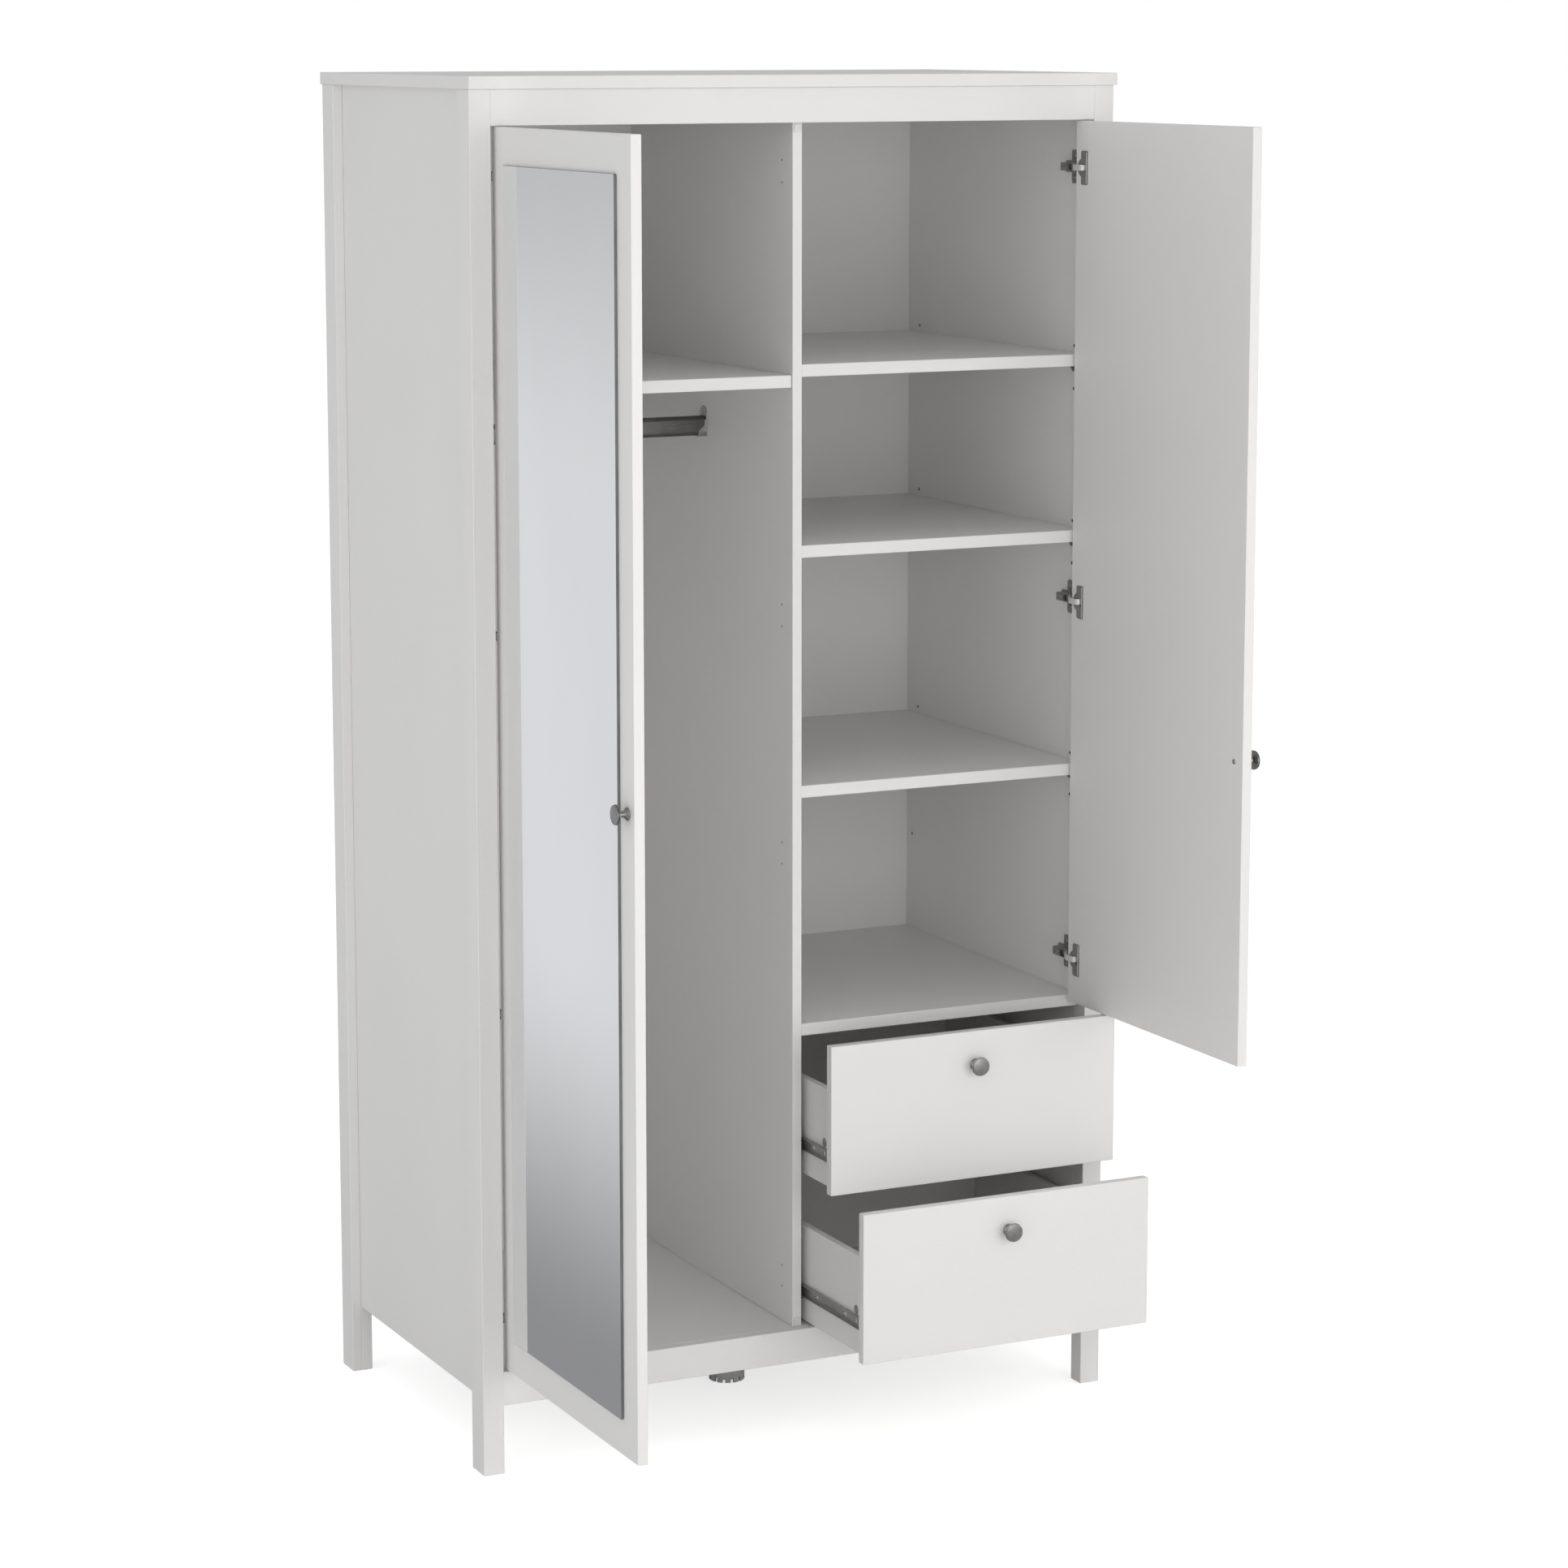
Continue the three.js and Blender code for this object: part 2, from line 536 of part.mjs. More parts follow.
// The web lies at x and the channel opens towards facing, which is 1 for +X. A half turn about Z turns
// a channel round, so its length is drawn about its middle.
function makeSlideMember(name, height, lip, x, facing, pull, z) {
  const geometry = laidAlongY(plainPrism(channel(height, lip), SLIDE_LENGTH));
  geometry.translate(0, SLIDE_LENGTH / 2, 0);
  const mesh = add(name, geometry, slideSteel);
  mesh.position.set(x, FRONT + SLIDE_START + SLIDE_LENGTH / 2 - pull, z);
  mesh.rotation.z = facing > 0 ? 0 : Math.PI;
}

function makeDrawer(label, bottom, pull) {
  const front = [-pull, BOARD - pull];
  const depths = [BOARD - pull, BOARD + DRAWER_DEPTH - pull];
  const across = [DIVIDER_X + SLIDE_SPACE, INNER_X - SLIDE_SPACE];
  const inside = [across[0] + DRAWER_SIDE_THICKNESS, across[1] - DRAWER_SIDE_THICKNESS];
  const boxBottom = bottom + DRAWER_BOX_RAISE;
  const heights = [boxBottom, boxBottom + DRAWER_SIDE_HEIGHT];
  const floor = boxBottom + DRAWER_BOTTOM_RAISE;
  const floorHeights = [floor, floor + DRAWER_BOTTOM_THICKNESS];
  const backDepths = [depths[1] - DRAWER_SIDE_THICKNESS, depths[1]];
  const frontTop = bottom + DRAWER_FRONT_HEIGHT;

  board(`${label}_drawer_front`, [CENTRE_GAP, CENTRE_GAP + DOOR_WIDTH], front, [bottom, frontTop]);
  board(`${label}_drawer_left_side`, [across[0], inside[0]], depths, heights);
  board(`${label}_drawer_right_side`, [inside[1], across[1]], depths, heights);
  board(`${label}_drawer_back`, inside, backDepths, heights);
  board(`${label}_drawer_bottom`, inside, [depths[0], backDepths[0]], floorHeights);

  const knobZ = frontTop - KNOB_BELOW_TOP;
  makeKnob(`${label}_drawer_knob`, CENTRE_GAP + DOOR_WIDTH / 2, FRONT - pull, knobZ, wardrobe);

  const slideZ = boxBottom + SLIDE_RAISE;
  const [cabinet, drawer] = [CABINET_SLIDE_HEIGHT, DRAWER_SLIDE_HEIGHT];
  makeSlideMember(`${label}_left_cabinet_slide`, cabinet, SLIDE_LIP, DIVIDER_X, 1, 0, slideZ);
  makeSlideMember(`${label}_left_drawer_slide`, drawer, SLIDE_LIP, across[0], -1, pull, slideZ);
  makeSlideMember(`${label}_right_cabinet_slide`, cabinet, SLIDE_LIP, INNER_X, -1, 0, slideZ);
  makeSlideMember(`${label}_right_drawer_slide`, drawer, SLIDE_LIP, across[1], 1, pull, slideZ);
}

// ---------------------------------------------------------------- the whole wardrobe

makeCarcass();
for (const [side, sign] of [['left', -1], ['right', 1]]) {
  makeFrontPost(side, sign);
  makeBackLeg(side, sign);
  makeSidePanel(side, sign);
}
makeShelves();
makeHangingRail();
makeFoot();
makeDoors();
makeDrawer('upper', UPPER_FRONT_BOTTOM, UPPER_DRAWER_PULL);
makeDrawer('lower', FRONTS_BOTTOM, LOWER_DRAWER_PULL);

export default wardrobe;
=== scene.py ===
"""A white two-door wardrobe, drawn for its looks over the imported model.

Metres, +Z up, +X to the right as one faces it, the front towards -Y. Small parts are drawn in millimetres.
"""
import json
import math

import bmesh
import bpy
from mathutils import Matrix, Vector


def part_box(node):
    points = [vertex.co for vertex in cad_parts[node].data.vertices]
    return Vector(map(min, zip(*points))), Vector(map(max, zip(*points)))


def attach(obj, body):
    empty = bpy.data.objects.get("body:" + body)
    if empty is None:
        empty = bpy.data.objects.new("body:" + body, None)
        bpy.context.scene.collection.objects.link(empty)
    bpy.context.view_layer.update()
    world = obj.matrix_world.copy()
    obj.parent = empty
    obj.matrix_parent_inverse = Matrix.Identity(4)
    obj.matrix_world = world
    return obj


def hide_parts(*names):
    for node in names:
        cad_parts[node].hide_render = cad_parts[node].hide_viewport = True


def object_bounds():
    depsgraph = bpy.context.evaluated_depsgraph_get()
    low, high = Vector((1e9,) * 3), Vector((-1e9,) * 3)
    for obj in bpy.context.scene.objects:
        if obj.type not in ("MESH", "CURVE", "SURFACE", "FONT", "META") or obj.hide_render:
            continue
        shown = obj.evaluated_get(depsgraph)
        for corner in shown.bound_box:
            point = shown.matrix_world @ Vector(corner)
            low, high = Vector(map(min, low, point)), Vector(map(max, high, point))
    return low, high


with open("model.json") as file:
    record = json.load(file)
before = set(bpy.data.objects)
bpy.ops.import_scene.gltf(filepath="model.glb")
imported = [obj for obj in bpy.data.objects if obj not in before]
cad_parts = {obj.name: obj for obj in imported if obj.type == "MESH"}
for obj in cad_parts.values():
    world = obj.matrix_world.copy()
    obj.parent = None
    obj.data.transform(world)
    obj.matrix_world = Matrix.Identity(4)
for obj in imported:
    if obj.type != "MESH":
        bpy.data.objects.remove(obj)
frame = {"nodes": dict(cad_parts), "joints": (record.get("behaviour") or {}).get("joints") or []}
cad_low, cad_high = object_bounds()

# ---- sizes, in millimetres

MM = 0.001

# Drilled holes. The front and rear rows are measured from the plane of the fronts.
HOLE_RADIUS = 2.5
PLATE_HOLE_RADIUS = 1.6
HOLE_DEPTH = 6.5
HOLE_PITCH = 32
FRONT_ROW = 53
REAR_ROW = 551
PIN_DROP = 4
HOLE_SIDES = 20

# Hinges, drawn for a shut door on the right: x from the middle of the wardrobe, y back from the fronts.
CUP_X = 456.5
DOOR_FACE = 15
CUP_RADIUS = 13
CUP_INNER_RADIUS = 11.9
CUP_DEPTH = 10.75
CUP_LIP_RADIUS = 14
CUP_LIP = 0.9
WING_WIDTH = 19
WING_HEIGHT = 50
WING_THICKNESS = 1.3
WING_X = 451
WING_CORNER = 4
WING_RIDGE = 4
WING_FOLD = 0.35
# The link comes out of the cup through a slot in its cover.
COVER_RADIUS = 13.6
COVER_SLOT_X = (446.6, 462)
COVER_SLOT_HEIGHT = 10.4
LINK_X = 455
LINK_Y = 10
LINK_RATIO = 0.82
LINK_ROUTE = [(0, 0), (-4.3, 2.1), (-6.2, 6.2), (-4.5, 14.4), (-1.5, 22.6), (4.4, 31.2), (13.6, 38.2)]
LINK_THICKNESS = 2.2
LINK_HEIGHT = 8.8
LINK_EYE = 2.1
ARM_X = (461, 471)
ARM_Y = (30, 70)
ARM_WEB_Y = 46
ARM_WALL = 1.2
ARM_HEIGHT = 12
ARM_NOSE = 3.6
ARM_PIN = 1.2
ARM_PIN_PLACE = (465.5, 35)
BOSS_Y = (50, 66)
BOSS_DEPTH = 3.5
FOOT_Y = (50, 77)
FOOT_SPREAD = 2.5
PLATE_X = (476, 478)
PLATE_Y = 53
PLATE_WIDTH = 18.5
PLATE_HEIGHT = 50
PLATE_CORNER = 4
PLATE_SCREW = 16
THIRD_PLATE_HOLES = 865

# Slides.
SLIDE_WALL = 1.25
SLIDE_BEND = 2.6
SLIDE_CURL = 1.5
SLIDE_SCREW = 1.7

# Shelf pins, cam locks, bumpers and rail brackets.
PIN_WIDTH = 13
PIN_HEIGHT = 10.5
PIN_PLATE = 1.8
PIN_REACH = 9
CAM_RADIUS = 6.5
CAM_CROSS = (3.2, 0.8)
CAM_BACK = 40
CAM_RAISE = 64.5
BUMPER = (11, 1.7, 12)
BRACKET_WIDTH = 27
BRACKET_BELOW = 16
BRACKET_ABOVE = 30
BRACKET_PLATE = 1.6
BRACKET_WALL = 1.3
BRACKET_REACH = 13
BRACKET_EYE = 0.86
RAIL_WALL = 1.25

# Nails of the back panel.
NAIL_INSET = 9
NAIL_SPACING = 150
DIVIDER_REACH = 20

# Levelling foot.
FOOT_HUB = 12
FOOT_WALL = 4
ROD_RADIUS = 8
SOCKET_BORE = 8.6
SOCKET_RADIUS = 13
FOOT_TEETH = 13
FOOT_GAP = 4.5
FOOT_GAP_HEIGHT = 7
THREAD_PITCH = 3
THREAD_DEPTH = 0.8

# Mirror.
MIRROR_CORNER = 2.5
MIRROR_EDGE = 0.5

# Knobs: a flared foot, a neck, a rim with a groove round it, and a gently domed face.
KNOB_LENGTH = 20.75
KNOB_CROWN = 75
KNOB_PROFILE = [
    (0, 0), (8.6, 0), (9, 0.45), (8.85, 1.1), (7.5, 2.4), (5.9, 4), (4.75, 6), (4.1, 8.2), (3.8, 10.4),
    (3.9, 12.2), (4.5, 13.4), (6.4, 14.2), (10, 14.9), (13, 15.4), (13.8, 15.8), (14, 16.3), (13.85, 16.8),
    (13.3, 17.05), (12.5, 17.3), (12.2, 17.75), (12.35, 18.2), (12.9, 18.45), (13.3, 18.75), (13.35, 19.2),
    (13.1, 19.5),
] + [(radius, KNOB_LENGTH - radius ** 2 / (2 * KNOB_CROWN)) for radius in (12.6, 11, 9, 6.5, 3.5, 0)]

# ---- places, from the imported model


def middle(node):
    low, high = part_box(node)
    return (low + high) / 2


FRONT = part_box("left_front_post")[0].y
LEFT_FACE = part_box("left_side_panel")[1].x
RIGHT_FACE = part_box("right_side_panel")[0].x
DIVIDER_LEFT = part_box("divider")[0].x
DIVIDER_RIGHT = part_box("divider")[1].x
SIDES = {"left": -1, "right": 1}
HINGE_HEIGHTS = {name: middle(f"right_{name}_hinge_arm").z for name in ("upper", "middle", "lower")}
HINGE_HEIGHTS["bottom"] = middle("left_lower_hinge_arm").z
# Each side's hinges: the piece's label, its height's name, and the CAD hinge that it stands for, if any.
HINGES = {
    "right": [("upper", "upper", "upper"), ("middle", "middle", "middle"), ("lower", "lower", "lower")],
    "left": [("upper", "upper", "upper"), ("second", "middle", None), ("third", "lower", None),
             ("lower", "bottom", "lower")],
}
JOINTS = {joint["name"]: joint for joint in frame["joints"]}


def turn_about(point, degrees):
    """A turn about an upright line through a point."""
    place = Matrix.Translation((point[0], point[1], 0))
    return place @ Matrix.Rotation(math.radians(degrees), 4, "Z") @ place.inverted()


def door_turn(side):
    """How a door has turned from shut to its rest pose, in degrees about +Z."""
    low, high = JOINTS[f"{side}_door_hinge"]["range_deg"]
    return -high if side == "left" else -low


def door_matrix(side):
    return turn_about(JOINTS[f"{side}_door_hinge"]["pos_m"], door_turn(side))


def link_matrix(side):
    pivot = (SIDES[side] * LINK_X * MM, FRONT + LINK_Y * MM)
    return door_matrix(side) @ turn_about(pivot, -LINK_RATIO * door_turn(side))


def hinge_matrix(side, height):
    """From a hinge's millimetres to the row frame, with the door shut."""
    return Matrix.Translation((0, FRONT, height)) @ Matrix.Diagonal((SIDES[side] * MM, MM, MM, 1))


# ---- materials


class Finish:
    """A procedural material: a Principled shader whose look varies with noise in the piece's own space."""

    def __init__(self, name, metallic=0.0, specular=0.5):
        self.made = bpy.data.materials.new(name)
        self.made.use_nodes = True
        self.nodes = self.made.node_tree.nodes
        self.links = self.made.node_tree.links
        self.shader = self.nodes["Principled BSDF"]
        self.shader.inputs["Metallic"].default_value = metallic
        self.shader.inputs["Specular IOR Level"].default_value = specular
        self.space = self.nodes.new("ShaderNodeTexCoord").outputs["Object"]
        self.heights = []

    def node(self, kind, **values):
        """A new node. Each value goes to the socket of its name, where _ stands for a space."""
        made = self.nodes.new(kind)
        for name, value in values.items():
            made.inputs[name.replace("_", " ")].default_value = value
        return made

    def noise(self, scale, detail=2.0, stretch=(1, 1, 1), roughness=0.5):
        mapping = self.node("ShaderNodeMapping", Scale=stretch)
        self.links.new(self.space, mapping.inputs["Vector"])
        texture = self.node("ShaderNodeTexNoise", Scale=scale, Detail=detail, Roughness=roughness)
        self.links.new(mapping.outputs["Vector"], texture.inputs["Vector"])
        return texture.outputs["Fac"]

    def rings(self, scale):
        """Noise that varies only with the distance from the piece's own Z axis, as turned metal does."""
        split = self.nodes.new("ShaderNodeSeparateXYZ")
        self.links.new(self.space, split.inputs[0])
        flat = self.nodes.new("ShaderNodeCombineXYZ")
        self.links.new(split.outputs["X"], flat.inputs["X"])
        self.links.new(split.outputs["Y"], flat.inputs["Y"])
        length = self.nodes.new("ShaderNodeVectorMath")
        length.operation = "LENGTH"
        self.links.new(flat.outputs[0], length.inputs[0])
        texture = self.node("ShaderNodeTexNoise", Scale=scale, Detail=3)
        texture.noise_dimensions = "1D"
        self.links.new(length.outputs["Value"], texture.inputs["W"])
        return texture.outputs["Fac"]

    def spread(self, value, low, high, start=0.3, end=0.7):
        node = self.node("ShaderNodeMapRange", From_Min=start, From_Max=end, To_Min=low, To_Max=high)
        self.links.new(value, node.inputs["Value"])
        return node.outputs["Result"]

    def mix(self, value, first, second, start=0.35, end=0.65):
        """A colour that goes from first to second as value rises. Either may be a colour or a socket."""
        node = self.nodes.new("ShaderNodeMix")
        node.data_type = "RGBA"
        self.links.new(self.spread(value, 0, 1, start, end), node.inputs["Factor"])
        for socket, colour in (("A", first), ("B", second)):
            target = [s for s in node.inputs if s.name == socket and s.type == "RGBA"][0]
            if isinstance(colour, tuple):
                target.default_value = (*colour, 1)
            else:
                self.links.new(colour, target)
        return [s for s in node.outputs if s.type == "RGBA"][0]

    def colour(self, socket):
        self.links.new(socket, self.shader.inputs["Base Color"])

    def roughness(self, socket):
        self.links.new(socket, self.shader.inputs["Roughness"])

    def bump(self, value, height):
        """Raises the surface by the noise, up to height in metres. Several calls build on one another."""
        node = self.node("ShaderNodeBump", Distance=height, Strength=1.0)
        self.links.new(value, node.inputs["Height"])
        if self.heights:
            self.links.new(self.heights[-1].outputs["Normal"], node.inputs["Normal"])
        self.heights.append(node)
        self.links.new(node.outputs["Normal"], self.shader.inputs["Normal"])


def grey(level, warmth=0.0):
    return (level * (1 + warmth), level, level * (1 - warmth))


def board_finish(name, light, dark, roughness, pebble=750):
    """White board with a fine pebbled surface and a very faint cloudiness."""
    finish = Finish(name, specular=0.4)
    grain = finish.noise(pebble, detail=3, roughness=0.6)
    cloud = finish.noise(5, detail=3)
    fine = finish.mix(grain, dark, light)
    finish.colour(finish.mix(cloud, fine, light, 0.3, 0.9))
    finish.roughness(finish.spread(grain, roughness + 0.06, roughness - 0.05))
    pebble_height = 0.00006
    finish.bump(grain, pebble_height)
    finish.bump(finish.noise(160, detail=2), pebble_height * 0.6)
    return finish.made


def metal_finish(name, light, dark, roughness, brushed=None, rings=None, metallic=1.0):
    """Metal with fine grain: cast, or brushed along one axis, or turned. A dull plating is less metallic."""
    finish = Finish(name, metallic=metallic)
    speck = finish.noise(900, detail=3)
    patch = finish.noise(60, detail=2)
    if rings:
        speck = finish.rings(rings)
    if brushed:
        speck = finish.noise(900, detail=2, stretch=brushed)
    finish.colour(finish.mix(speck, dark, finish.mix(patch, dark, light), 0.3, 0.75))
    finish.roughness(finish.spread(patch, roughness - 0.05, roughness + 0.07))
    finish.bump(speck, 0.00002)
    return finish.made


def plastic_finish(name, light, dark, roughness):
    finish = Finish(name, specular=0.4)
    grain = finish.noise(1300, detail=2)
    patch = finish.noise(40, detail=2)
    finish.colour(finish.mix(patch, dark, light))
    finish.roughness(finish.spread(grain, roughness - 0.05, roughness + 0.08))
    finish.bump(grain, 0.00004)
    return finish.made


def mirror_finish(name):
    """Silvered glass, with smears too faint to see except where light glances off them."""
    finish = Finish(name, metallic=1.0)
    smear = finish.noise(4, detail=4, stretch=(1, 1, 0.4))
    finish.colour(finish.mix(smear, grey(0.86, -0.008), grey(0.89, -0.008)))
    finish.roughness(finish.spread(smear, 0.015, 0.045))
    return finish.made


def glass_edge_finish(name):
    finish = Finish(name, specular=0.8)
    streak = finish.noise(90, detail=3, stretch=(1, 1, 0.15))
    finish.colour(finish.mix(streak, (0.17, 0.18, 0.178), (0.27, 0.283, 0.28)))
    finish.roughness(finish.spread(streak, 0.15, 0.28))
    return finish.made


def chipboard_finish(name):
    """The raw core that shows inside a drilled hole."""
    finish = Finish(name, specular=0.2)
    chip = finish.noise(1500, detail=3)
    finish.colour(finish.mix(chip, (0.10, 0.065, 0.035), (0.33, 0.23, 0.13)))
    finish.roughness(finish.spread(chip, 0.8, 0.95))
    finish.bump(chip, 0.0002)
    return finish.made


white_board = board_finish("white_board", grey(0.80, 0.006), grey(0.755, 0.008), 0.46)
thin_board = board_finish("thin_board", grey(0.77, 0.008), grey(0.72, 0.010), 0.58, pebble=1100)
mirror_glass = mirror_finish("mirror_glass")
glass_edge = glass_edge_finish("glass_edge")
knob_metal = metal_finish("knob_metal", grey(0.33), grey(0.25), 0.28, rings=3500)
hinge_metal = metal_finish("hinge_metal", grey(0.37, 0.01), grey(0.27, 0.01), 0.5, metallic=0.6)
link_metal = metal_finish("link_metal", grey(0.80), grey(0.72), 0.42, brushed=(1, 1, 0.06), metallic=0.3)
slide_metal = metal_finish("slide_metal", grey(0.44, 0.01), grey(0.33, 0.01), 0.36, brushed=(1, 0.05, 1),
                           metallic=0.6)
rail_metal = metal_finish("rail_metal", grey(0.19), grey(0.14), 0.40, brushed=(0.05, 1, 1))
bracket_metal = metal_finish("bracket_metal", grey(0.50), grey(0.40), 0.36)
screw_metal = metal_finish("screw_metal", grey(0.5), grey(0.38), 0.3)
foot_plastic = plastic_finish("foot_plastic", grey(0.42), grey(0.36), 0.5)
pin_plastic = plastic_finish("pin_plastic", grey(0.20), grey(0.15), 0.45)
# Near-black painted shade for the inside of the hinge cups.
cup_painted_shade = plastic_finish("cup_painted_shade", grey(0.04), grey(0.02), 0.5)
pale_plastic = plastic_finish("pale_plastic", grey(0.75), grey(0.68), 0.4)
raw_core = chipboard_finish("raw_core")

# ---- mesh work

LAID_ALONG_X = Matrix(((0, 0, 1, 0), (1, 0, 0, 0), (0, 1, 0, 0), (0, 0, 0, 1)))
LAID_ALONG_Y = Matrix(((1, 0, 0, 0), (0, 0, 1, 0), (0, 1, 0, 0), (0, 0, 0, 1)))


def moved(bm, matrix):
    """Moves a mesh. A mirror image has its faces turned the right way out again."""
    bmesh.ops.transform(bm, matrix=matrix, verts=bm.verts)
    if matrix.determinant() < 0:
        bmesh.ops.reverse_faces(bm, faces=bm.faces)
    return bm


def shrunk(bm):
    """A mesh in millimetres brought to metres."""
    return moved(bm, Matrix.Scale(MM, 4))


def skin(bm, rows):
    """Faces between rings of vertices, each ring to the next."""
    for row, following in zip(rows, rows[1:]):
        for step in range(len(row)):
            after = (step + 1) % len(row)
            bm.faces.new((row[step], row[after], following[after], following[step]))


def rectangle(x0, x1, y0, y1):
    return [(x0, y0), (x1, y0), (x1, y1), (x0, y1)]


def rounded(width, height, radius, steps=6):
    """The outline of a rectangle with round corners, about its middle."""
    points = []
    for corner, (sx, sy) in enumerate(((1, 1), (-1, 1), (-1, -1), (1, -1))):
        centre = (sx * (width / 2 - radius), sy * (height / 2 - radius))
        for step in range(steps + 1):
            angle = math.pi / 2 * (corner + step / steps)
            points.append((centre[0] + radius * math.cos(angle), centre[1] + radius * math.sin(angle)))
    return points


def circle(radius, x=0, y=0, steps=HOLE_SIDES):
    angles = [2 * math.pi * step / steps for step in range(steps)]
    return [(x + radius * math.cos(angle), y + radius * math.sin(angle)) for angle in angles]


def prism(outline, low, high):
    """A solid along Z from an outline in X and Y."""
    bm = bmesh.new()
    bottom = [bm.verts.new((x, y, low)) for x, y in outline]
    top = [bm.verts.new((x, y, high)) for x, y in outline]
    bm.faces.new(list(reversed(bottom)))
    bm.faces.new(top)
    skin(bm, [bottom, top])
    bmesh.ops.recalc_face_normals(bm, faces=bm.faces)
    return bm


def block(x, y, z):
    """A box between two limits on each axis."""
    return prism(rectangle(*x, *y), *z)


def lathe(profile, steps=48, closed=False):
    """A solid turned about Z from pairs of radius and height."""
    bm = bmesh.new()
    rings = []
    for radius, height in profile:
        if radius < 1e-6:
            rings.append([bm.verts.new((0, 0, height))])
        else:
            rings.append([bm.verts.new((*point, height)) for point in circle(radius, steps=steps)])
    if closed:
        rings.append(rings[0])
    for ring, following in zip(rings, rings[1:]):
        for step in range(steps):
            after = (step + 1) % steps
            corners = [
                ring[step % len(ring)], ring[after % len(ring)],
                following[after % len(following)], following[step % len(following)],
            ]
            bm.faces.new(list(dict.fromkeys(corners)))
    bmesh.ops.recalc_face_normals(bm, faces=bm.faces)
    return bm


def tube(outer, inner, low, high):
    """A hollow prism along Z. Both outlines have the same number of points."""
    bm = bmesh.new()
    rings = []
    for outline, height in ((outer, low), (outer, high), (inner, high), (inner, low)):
        rings.append([bm.verts.new((x, y, height)) for x, y in outline])
    skin(bm, [*rings, rings[0]])
    bmesh.ops.recalc_face_normals(bm, faces=bm.faces)
    return bm


def strip(points, thickness):
    """The outline of a strip of even thickness whose middle follows the points."""
    near, far = [], []
    for index, point in enumerate(points):
        before = Vector(points[max(index - 1, 0)])
        after = Vector(points[min(index + 1, len(points) - 1)])
        along = (after - before).normalized()
        across = Vector((along.y, -along.x)) * thickness / 2
        near.append(tuple(Vector(point) + across))
        far.append(tuple(Vector(point) - across))
    return near + far[::-1]


def smooth_route(points, steps=6):
    """More points along a Catmull-Rom curve through the given ones."""
    route = []
    ends = [points[0], *points, points[-1]]
    for a, b, c, d in zip(ends, ends[1:], ends[2:], ends[3:]):
        for step in range(steps):
            t = step / steps
            route.append(tuple(
                (2 * b[i] + (c[i] - a[i]) * t + (2 * a[i] - 5 * b[i] + 4 * c[i] - d[i]) * t * t
                 + (3 * b[i] - a[i] - 3 * c[i] + d[i]) * t ** 3) / 2
                for i in (0, 1)
            ))
    route.append(tuple(points[-1]))
    return route


def softened(bm, width, segments=2, angle=35):
    """Rounds the edges that are sharper than an angle."""
    sharp = [
        edge for edge in bm.edges
        if len(edge.link_faces) == 2 and edge.calc_face_angle(0) > math.radians(angle)
    ]
    bmesh.ops.bevel(bm, geom=sharp, offset=width, segments=segments, profile=0.5, affect="EDGES",
                    clamp_overlap=True)
    return bm


def together(*parts):
    """Several meshes as one, without joining their surfaces."""
    whole = bmesh.new()
    for part in parts:
        mesh = bpy.data.meshes.new("scratch")
        part.to_mesh(mesh)
        part.free()
        whole.from_mesh(mesh)
        bpy.data.meshes.remove(mesh)
    return whole


def cut(bm, cutter):
    """The first mesh with the second taken away from it."""
    objects = []
    for part in (bm, cutter):
        mesh = bpy.data.meshes.new("scratch")
        part.to_mesh(mesh)
        part.free()
        scratch = bpy.data.objects.new("scratch", mesh)
        bpy.context.scene.collection.objects.link(scratch)
        objects.append(scratch)
    target, tool = objects
    modifier = target.modifiers.new("cut", "BOOLEAN")
    modifier.operation = "DIFFERENCE"
    modifier.object = tool
    modifier.solver = "EXACT"
    bpy.context.view_layer.update()
    result = bmesh.new()
    result.from_object(target, bpy.context.evaluated_depsgraph_get())
    for scratch in objects:
        mesh = scratch.data
        bpy.data.objects.remove(scratch)
        bpy.data.meshes.remove(mesh)
    return result


def tinted(bm, index):
    """Gives every face of a mesh one of the piece's materials."""
    for face in bm.faces:
        face.material_index = index
    return bm


def piece(name, bm, body, materials, matrix=None, replaces=(), smooth=32):
    """Makes a named piece from a mesh in metres, or in millimetres with a matrix that shrinks it."""
    mesh = bpy.data.meshes.new(name)
    bm.to_mesh(mesh)
    bm.free()
    for made in materials if isinstance(materials, list) else [materials]:
        mesh.materials.append(made)
    mesh.polygons.foreach_set("use_smooth", [True] * len(mesh.polygons))
    mesh.set_sharp_from_angle(angle=math.radians(smooth))
    obj = bpy.data.objects.new(name, mesh)
    bpy.context.scene.collection.objects.link(obj)
    # Flat faces keep their own normals, and the softened edges between them shade as round.
    shading = obj.modifiers.new("shading", "WEIGHTED_NORMAL")
    shading.keep_sharp = True
    if matrix:
        obj.matrix_world = matrix
    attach(obj, body)
    if replaces:
        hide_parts(*replaces)
    return obj


def cross_outline(arm, half):
    """A cross of four arms, as a screwdriver fits."""
    points = [(half, half), (half, arm), (-half, arm)]
    outline = []
    for _ in range(4):
        outline += points
        points = [(-y, x) for x, y in points]
    return outline[::-1]


def screw_head(radius, height):
    """A low domed head with a cross recess, standing on Z = 0."""
    profile = [(0, 0), (radius, 0), (radius, height * 0.35), (radius * 0.86, height * 0.72),
               (radius * 0.6, height * 0.94), (radius * 0.3, height), (0, height)]
    head = lathe(profile, steps=24)
    cross = cross_outline(radius * 0.62, radius * 0.13)
    return cut(head, prism(cross, height * 0.45, height * 1.5))


SCREW = screw_head(3.4, 1.5)


def screw_at(x, y, z, turn=Matrix(), scale=1.0, spin=0):
    """A copy of the screw's head. The turn lays its Z axis along the way it faces."""
    place = Matrix.Translation((x, y, z)) @ turn @ Matrix.Rotation(math.radians(spin), 4, "Z")
    return moved(SCREW.copy(), place @ Matrix.Scale(scale, 4))


